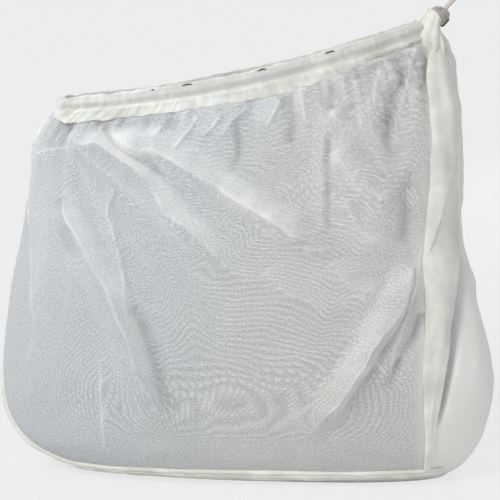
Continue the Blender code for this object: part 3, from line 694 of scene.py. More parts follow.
def casing(surface):
    """The hem round the mouth, puckered by the drawcord inside it."""
    angles, stations = rim_stations(CASING_STATIONS)
    rim, out, up, foot = rim_frames(angles)
    profile = spread_line(CASING_PROFILE + CASING_PROFILE[:1], 2)[:-1]
    count = len(profile)
    s = np.repeat(stations[:, None], count, 1)
    outward = np.repeat(profile[None, :, 0], CASING_STATIONS, 0)
    rise = np.repeat(profile[None, :, 1], CASING_STATIONS, 0)
    outer = smooth(0.0, 0.002, outward)
    header = smooth(-0.005, 0.0, rise)
    hem = 1 - smooth(-0.022, -0.013, rise)
    left_over = np.interp(rim[:, 0], *np.array(HEM_SHARE).T)[:, None]
    below = np.minimum(rise + HEM_HEIGHT - HEM_BELOW_STITCHES, 0.0)
    rise = rise - below * (1 - left_over)
    pucker = noise_over(s / 0.0060, rise / 0.022, 0.0, 2.3)
    gather = noise_over(s / 0.0026, rise / 0.012, 0.0, 7.7)
    slow = noise_over(s / 0.055, rise / 0.03, 0.0, 8.8)
    bunch = 1 + 1.6 * (1 - smooth(0.0, 0.045, rim[:, :1] + 0.206))
    edge = noise_over(s / 0.012, 0.0, 3.0, 6.1)
    outward = outward + outer * 0.0013 * bunch * pucker * (0.50 + 0.8 * hem + 0.6 * header)
    outward = outward + outer * 0.0006 * gather + 0.0016 * slow * (0.3 + hem)
    ragged = (0.0016 * edge + 0.0014 * slow) * header - (0.0016 * edge + 0.0024 * slow) * hem
    rise = rise + ragged * bunch
    # Painted shade in the slits, which are also dented in
    painted_shade = np.zeros(s.shape)
    front = stations < stations[-1] / 2
    for x, length in CASING_SLITS:
        near = np.interp(x, rim[front][::-1, 0], stations[front][::-1])
        away = (s - near) / (length / 2)
        droop = -0.0016 - 0.0012 * away**2
        painted_shade += np.exp(-(away**4)) * np.exp(-(((rise - droop) / 0.0011) ** 2)) * outer
    outward = outward - 0.0020 * painted_shade
    patch = 0.75 + 0.6 * slow + 0.35 * pucker
    dull = 0.62 * smooth(-0.0150, -0.0120, rise) * (1 - smooth(-0.0030, -0.0012, rise))
    dull += 0.60 * np.exp(-(((rise + 0.0205) / 0.0011) ** 2))
    dull += 0.50 * np.exp(-(((rise - CASING_STITCH_ROW) / 0.0010) ** 2))
    dull = np.clip(dull * patch, 0, 1) * outer
    # Above HEM_TOP a point hangs from the rim, and below it on the way to the hem's foot
    lower = np.clip((-rise - HEM_TOP) / (HEM_HEIGHT - HEM_TOP), 0.0, None)[..., None]
    upper = np.maximum(rise, -HEM_TOP)[..., None]
    hang = foot[:, None] - (rim - up * HEM_TOP)[:, None]
    points = rim[:, None] + up[:, None] * upper + hang * lower + out[:, None] * outward[..., None]
    faces = grid_faces(CASING_STATIONS, count, closed=True)
    total = CASING_STATIONS * count
    faces.append(tuple(range(count)))
    faces.append(tuple(range(total - 1, total - count - 1, -1)))
    around = lengths_along(np.concatenate([profile, profile[:1]]))
    low, high = stations[:-1, None], stations[1:, None]
    near, far = around[None, :-1], around[None, 1:]
    corners = [(low, near), (low, far), (high, far), (high, near)]
    shape = (CASING_STATIONS - 1, count)
    quads = [np.stack(np.broadcast_arrays(a, b, np.zeros(shape))[:2], -1) for a, b in corners]
    uvs = np.concatenate([np.stack(quads, 2).reshape(-1, 2), np.zeros((2 * count, 2))])
    marks = {"painted_shade": np.clip(painted_shade, 0, 1), "dull": dull}
    row = int(np.argmin(np.abs(profile[:, 1] - CASING_STITCH_ROW) + (profile[:, 0] < 0)))
    return mesh_object("casing", points, faces, surface, uvs, marks), points[:, row], out


# The band over the side seam: height, x of its left edge and x of its right edge
SIDE_BAND_EDGES = (
    (0.018, 0.206, 0.214), (0.074, 0.204, 0.217), (0.115, 0.200, 0.221), (0.150, 0.1985, 0.227),
    (0.190, 0.201, 0.232), (0.220, 0.2005, 0.236), (0.250, 0.199, 0.241), (0.270, 0.197, 0.243),
    (0.300, 0.199, 0.241), (0.350, 0.204, 0.237), (0.400, 0.205, 0.236), (0.430, 0.204, 0.234),
    (0.470, 0.2005, 0.229), (0.482, 0.2005, 0.226), (0.492, 0.2025, 0.222),
    (0.501, 0.2060, 0.218), (0.509, 0.2105, 0.2135),
)
# The fold that runs down it from the upper right to its left edge
SIDE_BAND_FOLD = ((0.200, 0.270), (0.212, 0.303), (0.225, 0.350), (0.234, 0.377), (0.239, 0.430))
SIDE_BAND_WIDTH = 0.028
SIDE_BAND_FOOT = 0.016
SIDE_BAND_CROWN = 0.0042
SIDE_BAND_EDGE = 0.0010
SIDE_BAND_STEP = 0.0016
# How far it reaches up past the wall's top, and how much higher than its level the cloth is there
SIDE_BAND_TUCK = 0.013
SEAM_RISE = 1.18
# The bands' inner side lies this far inside the plain surface
BAND_SET_IN = 0.0002
BOTTOM_BAND_WIDTH = 0.020
BOTTOM_BAND_HEIGHT = 0.0125
BOTTOM_BAND_LEFT_HEIGHT = 0.100
BOTTOM_BAND_LENGTH = 0.56
# Where the stitches run across it, from -1 at its foot to 1 at its top
BOTTOM_STITCH_SIDE = 0.45
CORNER_TURN = 0.62


def turn_for(level, angle, distance):
    """The change of angle that moves a point by a distance along its level."""
    step = 0.01
    moved = bag_surface(level, angle + step) - bag_surface(level, angle)
    return distance * step / np.linalg.norm(moved, axis=-1)


def side_band(surface):
    """The doubled, loosely folded net over the side seam, from the foot to the casing."""
    rows, columns = 300, 44
    levels = np.linspace(SIDE_BAND_FOOT, WALL_TOP + SIDE_BAND_TUCK, rows)
    height = levels * SEAM_RISE
    table = np.array(SIDE_BAND_EDGES)
    left = np.interp(height, table[:, 0], table[:, 1])
    right = np.interp(height, table[:, 0], table[:, 2])
    shake = noise_over(levels / 0.030, 0.0, 2.0, 1.1)
    fine = noise_over(levels / 0.009, 0.0, 7.0, 1.1)
    left = left + 0.0010 * shake + 0.0004 * fine
    right = right + 0.0016 * shake - 0.0006 * fine
    across = np.linspace(-1, 1, columns)
    x = left[:, None] + (right - left)[:, None] * (across[None] + 1) / 2
    grid = np.repeat(levels[:, None], columns, 1)
    angles = front_angle(grid, x)
    base = bag_surface(grid, angles)
    out = surface_normals(grid, angles)
    side = np.repeat(across[None], rows, 0)
    width = (right - left)[:, None]
    crease = noise_over(grid / 0.075, side * 1.5, 0.0, 3.3)
    ripple = noise_over(grid / 0.016, side * 1.4, 4.0, 6.0)
    foot = np.exp(-((height[:, None] / 0.050) ** 2))
    crown = SIDE_BAND_CROWN * np.clip(width / 0.036, 0.35, 1.1)
    lift = SIDE_BAND_EDGE + crown * (1 - np.abs(side) ** 2.6)
    lift = lift + 0.0016 * crease * (1 - side**4) + (0.0004 + 0.0014 * foot) * ripple
    # The fold: the cloth on its left lies over that on its right
    fold = spread_line(SIDE_BAND_FOLD, 8)
    over = np.interp(base[..., 2], fold[:, 1], fold[:, 0]) - x
    inside = smooth(0.268, 0.285, base[..., 2]) * (1 - smooth(0.41, 0.44, base[..., 2]))
    step = smooth(-0.0018, 0.0012, over) * np.exp(-np.maximum(over, 0) / 0.020)
    lift = lift + SIDE_BAND_STEP * step * inside
    # Painted shade on the cloth that the fold lies over, darkest just beside its edge
    shade = 0.10 * inside * np.exp(-(((over + 0.0022) / 0.0022) ** 2))
    shade = shade + 0.10 * inside * smooth(0.0, 0.002, -over)
    uvs = np.stack([x - 0.2, grid * 1.19], -1)
    outer = base + out * np.maximum(lift, 0.0010)[..., None]
    outer[..., 2] = np.maximum(outer[..., 2], GAP)
    inner = base - out * BAND_SET_IN
    marks = {"painted_shade": np.concatenate([shade.ravel(), np.zeros(rows * columns)])}
    return closed_strip("side_band", outer, inner, surface, uvs, marks)


def bottom_band_line(count):
    """Angles and levels along the middle of the bottom band, from the left fold to the seam."""
    seam = float(seam_angle(BOTTOM_BAND_HEIGHT))
    end = seam + float(turn_for(BOTTOM_BAND_HEIGHT, seam, SIDE_BAND_WIDTH / 2))
    angles = np.linspace(math.pi - 0.05, end, count)
    rise = np.maximum(0.0, 1.0 - (angles - math.pi) / CORNER_TURN)
    return angles, BOTTOM_BAND_HEIGHT + (BOTTOM_BAND_LEFT_HEIGHT - BOTTOM_BAND_HEIGHT) * rise**2


def bottom_band(surface):
    """The rolled hem on the bottom seam, along the front foot and up round the lower left."""
    rows, columns = 420, 24
    angles, levels = bottom_band_line(rows)
    step = 0.002
    rate = bag_surface(levels + step, angles) - bag_surface(levels, angles)
    slant = np.linalg.norm(rate, axis=-1) / step
    along = np.linspace(0, BOTTOM_BAND_LENGTH, rows)
    shake = noise_over(along / 0.045, 0.0, 5.0, 1.9)
    narrow = 1 - 0.30 * smooth(0.30, 0.42, along)
    half = BOTTOM_BAND_WIDTH / 2 / slant * (1 + 0.14 * shake) * narrow
    half = half * smooth(-0.06, 0.16, along / BOTTOM_BAND_LENGTH)
    across = np.linspace(-1, 1, columns)
    grid = np.maximum(levels[:, None] + half[:, None] * across[None], 0.0006)
    turns = np.repeat(angles[:, None], columns, 1)
    base = bag_surface(grid, turns)
    out = surface_normals(grid, turns)
    side = np.repeat(across[None], rows, 0)
    long = np.repeat(along[:, None], columns, 1)
    crease = noise_over(long / 0.040, side * 1.2 + long / 0.02, 0.0, 2.2)
    ripple = noise_over(long / 0.009, side, 4.0, 7.0)
    lift = 0.0008 + (1 - np.abs(side) ** 3) * (0.0036 + 0.0013 * crease + 0.0004 * ripple)
    lift = lift - 0.0012 * np.exp(-(((side - BOTTOM_STITCH_SIDE) / 0.10) ** 2))
    outer = base + out * np.maximum(lift, 0.0006)[..., None]
    inner = base - out * BAND_SET_IN
    outer[..., 2] = np.maximum(outer[..., 2], GAP)
    inner[..., 2] = np.maximum(inner[..., 2], GAP)
    uvs = np.stack([side * BOTTOM_BAND_WIDTH / 2, long], -1)
    row = int(np.argmin(np.abs(across - BOTTOM_STITCH_SIDE)))
    seen = slice(rows // 7, rows)
    made = closed_strip("bottom_band", outer, inner, surface, uvs)
    return made, outer[seen, row], out[seen, row]


STITCH_PITCH = 0.0042
STITCH_LENGTH = 0.0030
STITCH_RADIUS = 0.00028
# How far a stitch bows out at its middle, and how deep its ends lie in the cloth
STITCH_BOW, STITCH_SINK = 0.00045, 0.0001


def stitches(name, line, normals, surface):
    """A row of sewn stitches, each a short thread that bows out of the cloth."""
    lengths = lengths_along(line)
    starts = np.arange(STITCH_PITCH, lengths[-1] - 2 * STITCH_PITCH, STITCH_PITCH)
    rings, sides = 7, 6
    t = np.linspace(0, 1, rings)
    at = starts[:, None] + t[None] * STITCH_LENGTH
    middle = np.stack([np.interp(at, lengths, line[:, k]) for k in range(3)], -1)
    out = unit(np.stack([np.interp(at, lengths, normals[:, k]) for k in range(3)], -1))
    middle = middle + out * (STITCH_BOW * np.sin(math.pi * t) - STITCH_SINK)[None, :, None]
    along = unit(np.gradient(middle, axis=1))
    side = unit(np.cross(along, out))
    turn = 2 * math.pi * np.arange(sides) / sides
    girth = STITCH_RADIUS * (0.45 + 0.55 * np.sin(math.pi * t))[None, :, None, None]
    ring = np.cos(turn)[:, None] * side[:, :, None] + np.sin(turn)[:, None] * out[:, :, None]
    points = middle[:, :, None] + ring * girth
    faces = []
    for i in range(len(starts)):
        first = i * rings * sides
        faces += grid_faces(rings, sides, closed=True, first=first)
        faces.append(tuple(range(first + sides - 1, first - 1, -1)))
        last = first + (rings - 1) * sides
        faces.append(tuple(range(last, last + sides)))
    return mesh_object(name, points, faces, surface)


# The gathered corner under the lock: where it starts inside the bag and its half widths there,
# its cup round the lock with how far round that reaches, in degrees, and how much less in front,
# and how far its neck runs out to the left over the casing's end
CORNER_START = Vector((0.2105, 0.0, 0.4900))
CORNER_HALF = (0.0130, 0.0165)
CUP_RADIUS = 0.0140
CUP_THICKNESS = 0.0010
CUP_EDGE = 86.0
CUP_CUT_AWAY = 60.0
CORNER_PLEATS = 11
CORNER_NECK = 0.0190


def corner_gather(surface):
    """The end of the casing and net, drawn into a pleated cup that the lock sits in."""
    rows, columns = 80, 240
    way, across = np.array(CORD_WAY), np.array((0.0, -1.0, 0.0))
    up, left = np.array(LOCK_AXIS), np.array((-1.0, 0.0, 0.0))
    centre, start = np.array(LOCK_HOLE), np.array(CORNER_START)
    turn = np.linspace(math.pi, 3 * math.pi, columns)[None]
    s = np.linspace(0, 1, rows)[:, None]
    whole = s + 0 * turn
    uneven = noise_over(np.cos(turn) * 2.2, np.sin(turn) * 2.2, 0.0, 4.4)
    soft = noise_over(np.cos(turn) * 2, np.sin(turn) * 2, 2 * whole, 9.3)
    pleat = np.cos(CORNER_PLEATS * turn + 3.2 * uneven + 0.8 * soft)
    low = np.maximum(0.0, -np.sin(turn)) ** 1.3
    lip = np.radians(CUP_EDGE + 5 * np.cos(turn) - CUP_CUT_AWAY * low + 9 * uneven)
    ring = across * np.cos(turn)[..., None] + up * np.sin(turn)[..., None]
    polar = lip * (0.35 + 0.65 * s)
    depth = 0.0010 * pleat * (1 - 0.65 * s) + 0.0007 * soft * (1 - s)
    radius = CUP_RADIUS + np.maximum(depth, -0.0004)
    radius = radius + 0.0006 * np.exp(-(((s - 0.965) / 0.03) ** 2))
    cup = centre - way * (radius * np.cos(polar))[..., None]
    cup = cup + ring[0] * (radius * np.sin(polar))[..., None]
    grow = 1 + depth / 0.013
    tube = start + (centre - start) * whole[..., None] * 0.70
    tube = tube + across * (CORNER_HALF[0] * np.cos(turn) * grow)[..., None]
    tube = tube + left * (CORNER_HALF[1] * np.sin(turn) * grow)[..., None]
    neck = CORNER_NECK * np.exp(-(((whole - 0.60) / 0.22) ** 2)) * np.maximum(np.sin(turn), 0)
    tube = tube + left * neck[..., None]
    share = smooth(0.35, 0.97, whole)[..., None]
    outer = tube * (1 - share) + cup * share
    middle = outer.mean(axis=1, keepdims=True)
    inner = outer - unit(outer - middle) * CUP_THICKNESS * (1 - share)
    inner = inner - unit(outer - centre) * CUP_THICKNESS * share
    uvs = np.stack([turn * 0.013 + 0 * s, 0.045 * whole], -1)
    # Painted shade in the pleats' troughs, fading towards the cup
    shade = np.clip(-pleat, 0, 1) * 0.22 * (1 - whole)
    marks = {"painted_shade": np.concatenate([shade.ravel(), shade.ravel()])}
    return closed_strip("corner_gather", outer, inner, surface, uvs, marks)


def cord_curve(name, points, surface, *more):
    """A round cord along a list of points, or several, as a curve with closed ends."""
    curve = bpy.data.curves.new(name, "CURVE")
    curve.dimensions = "3D"
    curve.bevel_depth = CORD_DIAMETER / 2
    curve.bevel_resolution = 6
    curve.use_fill_caps = True
    for line in (points, *more):
        spline = curve.splines.new("POLY")
        spline.points.add(len(line) - 1)
        for target, point in zip(spline.points, line):
            target.co = (*point, 1.0)
    curve.materials.append(surface)
    return add_object(name, curve)


def bore_line(count):
    """The middle of the casing's tube, from its front right end to its back one."""
    end = math.asin(CASING_END_GAP / OUTLINE[-1][3])
    rim, out, up, _ = rim_frames(np.linspace(2 * math.pi - end, end, count + 1))
    return rim + out * (CASING_INSIDE + TUBE_RADIUS) - up * TUBE_DROP


def strand_route(side):
    """One free strand's points: out of the casing, through the lock and to the knot."""
    line = bore_line(60)
    casing_end = Vector(line[0] if side < 0 else line[-1])
    inner = Vector(line[1] if side < 0 else line[-2])
    beside = Vector((0.0, side * STRAND_PITCH / 2, 0.0))
    start = casing_end + (casing_end - inner).normalized() * 2 * GAP
    entry = LOCK_HOLE + CORD_WAY * STRAND_STRAIGHT_FROM + beside
    first = start + (entry - start).normalized() * STRAND_HANDLES[0]
    second = entry - CORD_WAY * STRAND_HANDLES[1]
    route = []
    for t in np.arange(24) / 24:
        u = 1 - t
        route.append(start * u**3 + first * (3 * u * u * t) + second * (3 * u * t * t) + entry * t**3)
    for along in np.linspace(STRAND_STRAIGHT_FROM, KNOT_DISTANCE - GAP, 40):
        route.append(LOCK_HOLE + CORD_WAY * float(along) + beside)
    return np.array([tuple(p) for p in route])


# ---- Materials -------------------------------------------------------------------------------


def linear(red, green, blue):
    """A colour given as it looks on a screen, from 0 to 255, in Blender's linear values."""
    return tuple(
        c / 12.92 if c <= 0.04045 else ((c + 0.055) / 1.055) ** 2.4
        for c in (red / 255, green / 255, blue / 255)
    )


class Nodes:
    """A small helper that builds one material's nodes."""

    def __init__(self, name):
        self.material = bpy.data.materials.new(name)
        self.material.use_nodes = True
        self.tree = self.material.node_tree
        self.shader = self.tree.nodes["Principled BSDF"]

    def add(self, kind, inputs=None, **settings):
        made = self.tree.nodes.new("ShaderNode" + kind)
        for name, value in settings.items():
            setattr(made, name, value)
        for key, value in (inputs or {}).items():
            self.join(value, made.inputs[key])
        return made

    def join(self, value, socket):
        if isinstance(value, bpy.types.NodeSocket):
            self.tree.links.new(value, socket)
        elif isinstance(value, tuple) and len(value) == 3 and socket.type == "RGBA":
            socket.default_value = (*value, 1.0)
        else:
            socket.default_value = value

    def math(self, operation, first, second=0.0, third=0.0):
        made = self.add("Math", operation=operation)
        for value, socket in zip((first, second, third), made.inputs):
            self.join(value, socket)
        return made.outputs[0]

    def blend(self, factor, first, second, how="MIX"):
        made = self.add("Mix", data_type="RGBA", blend_type=how)
        self.join(factor, made.inputs[0])
        self.join(first, made.inputs[6])
        self.join(second, made.inputs[7])
        return made.outputs[2]

    def ramp(self, value, low, high, to_low=0.0, to_high=1.0):
        made = self.add("MapRange", interpolation_type="SMOOTHSTEP")
        for i, number in enumerate((value, low, high, to_low, to_high)):
            self.join(number, made.inputs[i])
        return made.outputs[0]

    def noise(self, place, scale, detail=2.0, rough=0.5):
        made = self.add("TexNoise", {"Vector": place, "Scale": scale, "Detail": detail,
                                     "Roughness": rough})
        return made.outputs["Fac"]

    def mark(self, name):
        return self.add("Attribute", attribute_name=name).outputs["Fac"]

    def finish(self, colour, roughness, height, depth, sheen=0.0, alpha=None):
        bump = self.add("Bump", {"Height": height, "Distance": depth, "Strength": 1.0})
        self.join(colour, self.shader.inputs["Base Color"])
        self.join(roughness, self.shader.inputs["Roughness"])
        self.join(bump.outputs[0], self.shader.inputs["Normal"])
        self.shader.inputs["Specular IOR Level"].default_value = 0.25
        self.shader.inputs["Sheen Weight"].default_value = sheen
        self.shader.inputs["Sheen Roughness"].default_value = 0.45
        if alpha is not None:
            self.join(alpha, self.shader.inputs["Alpha"])
        return self.material


# The knit: rows and columns of holes, how far the rows sway, and how closed the holes are where
# the net lies flat and where it is bunched
COURSE_PITCH = 0.00095
WALE_PITCH = 0.0011
COURSE_SWAY = 0.0005
HOLES_FLAT = 0.62
HOLES_CLOSE = 2.3
BRAID_PITCH = (0.0020, 0.0022)
THREAD_TWIST = 0.0006


def net_material():
    """Fine knitted net: small holes in staggered courses, fewer where the net is gathered closer;
    paler there and where highlight is painted on crests and ridges, and darker with painted shade in
    its hollows.
    """
    n = Nodes("fine_net")
    cloth = n.add("UVMap", uv_map="cloth").outputs[0]
    place = n.add("TexCoord").outputs["Object"]
    bunched_and_highlight, hollow_painted_shade, dense = n.mark("bunched_and_highlight"), n.mark("hollow_painted_shade"), n.mark("dense")
    parts = n.add("SeparateXYZ", {0: cloth})
    sway = n.noise(n.add("Mapping", {0: cloth, "Scale": (13.0, 5.0, 1.0)}).outputs[0], 1.0, 2.0)
    v = n.math("MULTIPLY_ADD", sway, COURSE_SWAY, parts.outputs[1])
    u = n.math("MULTIPLY_ADD", n.noise(cloth, 60.0, 2.0), 0.0004, parts.outputs[0])
    straight = n.math("COSINE", n.math("MULTIPLY", v, 2 * math.pi / COURSE_PITCH))
    half = n.math("MULTIPLY", v, math.pi / COURSE_PITCH)
    lean = n.math("MULTIPLY", u, 2 * math.pi / WALE_PITCH)
    rising = n.math("COSINE", n.math("ADD", half, lean))
    falling = n.math("COSINE", n.math("SUBTRACT", half, lean))
    slanted = n.math("MULTIPLY", n.math("ADD", rising, falling), 0.8)
    holes = n.math("MULTIPLY_ADD", straight, 1.4, slanted)
    closed = n.math("MAXIMUM", n.math("MULTIPLY", bunched_and_highlight, 0.60), n.math("MULTIPLY", dense, 0.9))
    edge = n.math("MULTIPLY_ADD", closed, HOLES_CLOSE - HOLES_FLAT, HOLES_FLAT)
    alpha = n.ramp(n.math("SUBTRACT", holes, edge), -0.78, 0.92, 1.0, 0.0)
    # Cool and pale to the upper left, warmer and greyer to the lower right, and blotched
    sides = n.add("SeparateXYZ", {0: place})
    turned = n.math("MULTIPLY", sides.outputs[2], -0.25)
    turned = n.math("MULTIPLY_ADD", sides.outputs[0], 0.9, turned)
    colour = n.blend(n.ramp(turned, -0.22, 0.05), linear(194, 200, 206), linear(205, 205, 197))
    blotch = n.noise(place, 11.0, 5.0, 0.62)
    colour = n.blend(n.ramp(blotch, 0.35, 0.70, 0.0, 0.45), colour, linear(184, 189, 193))
    slub = n.noise(n.add("Mapping", {0: cloth, "Scale": (90.0, 420.0, 1.0)}).outputs[0], 1.0, 3.0)
    colour = n.blend(n.ramp(slub, 0.42, 0.72, 0.0, 0.34), colour, linear(168, 172, 175))
    grain = n.noise(cloth, 540.0, 2.0, 0.7)
    colour = n.blend(n.ramp(grain, 0.45, 0.62, 0.0, 0.58), colour, linear(238, 240, 240))
    colour = n.blend(n.ramp(grain, 0.55, 0.38, 0.0, 0.42), colour, linear(158, 162, 165))
    colour = n.blend(n.math("MULTIPLY", dense, 0.9), colour, linear(230, 229, 219))
    # Painted shade in the hollows and troughs, then paler where the net is bunched and where
    # highlight is painted on crests and ridges
    colour = n.blend(n.math("MULTIPLY", hollow_painted_shade, 0.85), colour, linear(104, 108, 111))
    colour = n.blend(n.math("MULTIPLY", bunched_and_highlight, 0.8), colour, linear(240, 242, 241))
    yarn = n.noise(cloth, 2600.0, 2.0)
    height = n.math("MULTIPLY_ADD", yarn, 0.35, n.math("MULTIPLY", holes, -0.33))
    made = n.finish(colour, 0.72, height, 0.00016, 0.25, alpha)
    made.surface_render_method = "DITHERED"
    return made


def woven_material(name, light, dark, pitch, depth, warm=None):
    """Close cloth: crossing yarns, soft blotches and painted shade in its hollows: its slits, under
    its folds and in its pleat troughs.
    """
    n = Nodes(name)
    cloth = n.add("UVMap", uv_map="cloth").outputs[0]
    place = n.add("TexCoord").outputs["Object"]
    parts = n.add("SeparateXYZ", {0: cloth})
    wave = 2 * math.pi / pitch
    uneven = n.math("MULTIPLY", n.noise(cloth, 120.0, 3.0), 0.0012)
    across = n.math("SINE", n.math("MULTIPLY", n.math("ADD", parts.outputs[0], uneven), wave))
    along = n.math("SINE", n.math("MULTIPLY", n.math("ADD", parts.outputs[1], uneven), wave))
    weave = n.math("MULTIPLY", across, along)
    blotch = n.noise(place, 22.0, 4.0, 0.6)
    colour = n.blend(n.ramp(blotch, 0.30, 0.72), dark, light)
    colour = n.blend(n.ramp(weave, -1.0, 0.2, 0.14, 0.0), colour, dark)
    if warm:
        side = n.add("SeparateXYZ", {0: place}).outputs[0]
        colour = n.blend(n.ramp(side, 0.02, 0.22), colour, warm, "MULTIPLY")
    colour = n.blend(n.math("MULTIPLY", n.mark("dull"), 0.8), colour, linear(182, 185, 184))
    # Painted shade in the casing's slits, under the side band's fold and in the corner's pleat
    # troughs
    colour = n.blend(n.ramp(n.mark("painted_shade"), 0.25, 0.75), colour, linear(58, 58, 56))
    fuzz = n.noise(cloth, 1400.0, 3.0, 0.7)
    height = n.math("MULTIPLY_ADD", fuzz, 0.5, n.math("MULTIPLY", weave, 0.5))
    return n.finish(colour, 0.80, height, depth, 0.25)


def cord_material():
    """Braided cord: crossing slanted strands, read round and along the cord."""
    n = Nodes("braided_cord")
    place = n.add("TexCoord").outputs["Object"]
    turned = n.add("Mapping", {0: place, "Rotation": (0.0, math.radians(42), 0.0)}).outputs[0]
    parts = n.add("SeparateXYZ", {0: turned})
    along = n.math("MULTIPLY", parts.outputs[2], 2 * math.pi / BRAID_PITCH[1])
    around = n.math("MULTIPLY", parts.outputs[0], 2 * math.pi / BRAID_PITCH[0])
    first = n.math("SINE", n.math("ADD", along, around))
    second = n.math("SINE", n.math("SUBTRACT", along, around))
    braid = n.math("MAXIMUM", first, second)
    fibre = n.noise(place, 900.0, 3.0)
    colour = n.blend(n.ramp(braid, -0.4, 0.8), linear(182, 174, 168), linear(222, 215, 205))
    colour = n.blend(n.ramp(fibre, 0.3, 0.7, 0.0, 0.3), colour, linear(206, 199, 192))
    height = n.math("MULTIPLY_ADD", fibre, 0.3, braid)
    return n.finish(colour, 0.78, height, 0.0003, 0.2)


def plastic_material(name, light, dark, roughness):
    """Moulded plastic: a fine grain, faint clouds and duller handled patches."""
    n = Nodes(name)
    place = n.add("TexCoord").outputs["Object"]
    clouds = n.noise(place, 160.0, 4.0, 0.6)
    grain = n.noise(place, 4200.0, 2.0)
    colour = n.blend(n.ramp(clouds, 0.3, 0.7), dark, light)
    rough = n.ramp(n.noise(place, 420.0, 3.0), 0.3, 0.7, roughness - 0.06, roughness + 0.10)
    made = n.finish(colour, rough, grain, 0.00004)
    n.shader.inputs["Specular IOR Level"].default_value = 0.5
    return made


def steel_material():
    """Drawn spring wire, with fine lines and a little variation in its shine."""
    n = Nodes("drawn_wire")
    place = n.add("TexCoord").outputs["Object"]
    stretched = n.add("Mapping", {0: place, "Scale": (1.0, 1.0, 9.0)}).outputs[0]
    lines = n.noise(stretched, 900.0, 3.0)
    colour = n.blend(lines, linear(150, 150, 152), linear(205, 205, 206))
    n.shader.inputs["Metallic"].default_value = 1.0
    return n.finish(colour, n.ramp(lines, 0.3, 0.7, 0.22, 0.40), lines, 0.00003)


def thread_material():
    """Sewing thread: two plies with a slanted twist."""
    n = Nodes("sewing_thread")
    place = n.add("TexCoord").outputs["Object"]
    parts = n.add("SeparateXYZ", {0: place})
    slant = n.math("ADD", n.math("ADD", parts.outputs[0], parts.outputs[1]), parts.outputs[2])
    twist = n.math("SINE", n.math("MULTIPLY", slant, 2 * math.pi / THREAD_TWIST))
    colour = n.blend(n.ramp(twist, -1.0, 1.0), linear(202, 203, 196), linear(236, 237, 231))
    return n.finish(colour, 0.6, twist, 0.00008, 0.3)


# ---- Camera, light and floor -----------------------------------------------------------------

BACKGROUND = linear(236, 236, 236)


def add_camera():
    data = bpy.data.cameras.new("camera")
    data.lens = CAMERA_LENS
    data.sensor_width = 36.0
    made = add_object("camera", data)
    back = Vector((0.0, -math.cos(CAMERA_DOWN), math.sin(CAMERA_DOWN)))
    made.location = AIM + back * CAMERA_DISTANCE
    made.rotation_euler = (math.pi / 2 - CAMERA_DOWN, 0.0, 0.0)
    bpy.context.scene.camera = made


def area_light(name, place, size, power, colour):
    data = bpy.data.lights.new(name, "AREA")
    data.shape = "DISK"
    data.size = size
    data.energy = power
    data.color = colour
    made = add_object(name, data)
    made.location = place
    made.rotation_euler = (Vector(LIGHTS_AIM) - Vector(place)).to_track_quat("-Z", "Y").to_euler()


def seen_as(tree, lit, shown):
    """Mix two shaders: one for light, the other for what the camera or a shiny surface sees."""
    path = tree.nodes.new("ShaderNodeLightPath")
    names = ("Is Camera Ray", "Is Glossy Ray", "Is Transmission Ray")
    total = path.outputs[names[0]]
    for name in names[1:]:
        either = tree.nodes.new("ShaderNodeMath")
        either.operation = "MAXIMUM"
        tree.links.new(total, either.inputs[0])
        tree.links.new(path.outputs[name], either.inputs[1])
        total = either.outputs[0]
    mix = tree.nodes.new("ShaderNodeMixShader")
    tree.links.new(total, mix.inputs[0])
    tree.links.new(lit, mix.inputs[1])
    tree.links.new(shown, mix.inputs[2])
    return mix.outputs[0]


def add_world(light):
    world = bpy.data.worlds.new("studio")
    bpy.context.scene.world = world
    world.use_nodes = True
    tree = world.node_tree
    soft = tree.nodes["Background"]
    soft.inputs[0].default_value = (0.95, 0.97, 1.0, 1.0)
    soft.inputs[1].default_value = light
    pale = tree.nodes.new("ShaderNodeBackground")
    pale.inputs[0].default_value = (*BACKGROUND, 1.0)
    pale.inputs[1].default_value = 1.0
    mixed = seen_as(tree, soft.outputs[0], pale.outputs[0])
    tree.links.new(mixed, tree.nodes["World Output"].inputs[0])


FLOOR_HALF = 60.0
FLOOR_DROP = 0.0005
FLOOR_OWN_LIGHT = 0.85
# The floor's own tone near the bag and far behind it, so that it looks even
FLOOR_NEAR, FLOOR_FAR = 0.858, 0.931
FLOOR_NEAR_TO_FAR = (0.5, 3.5)


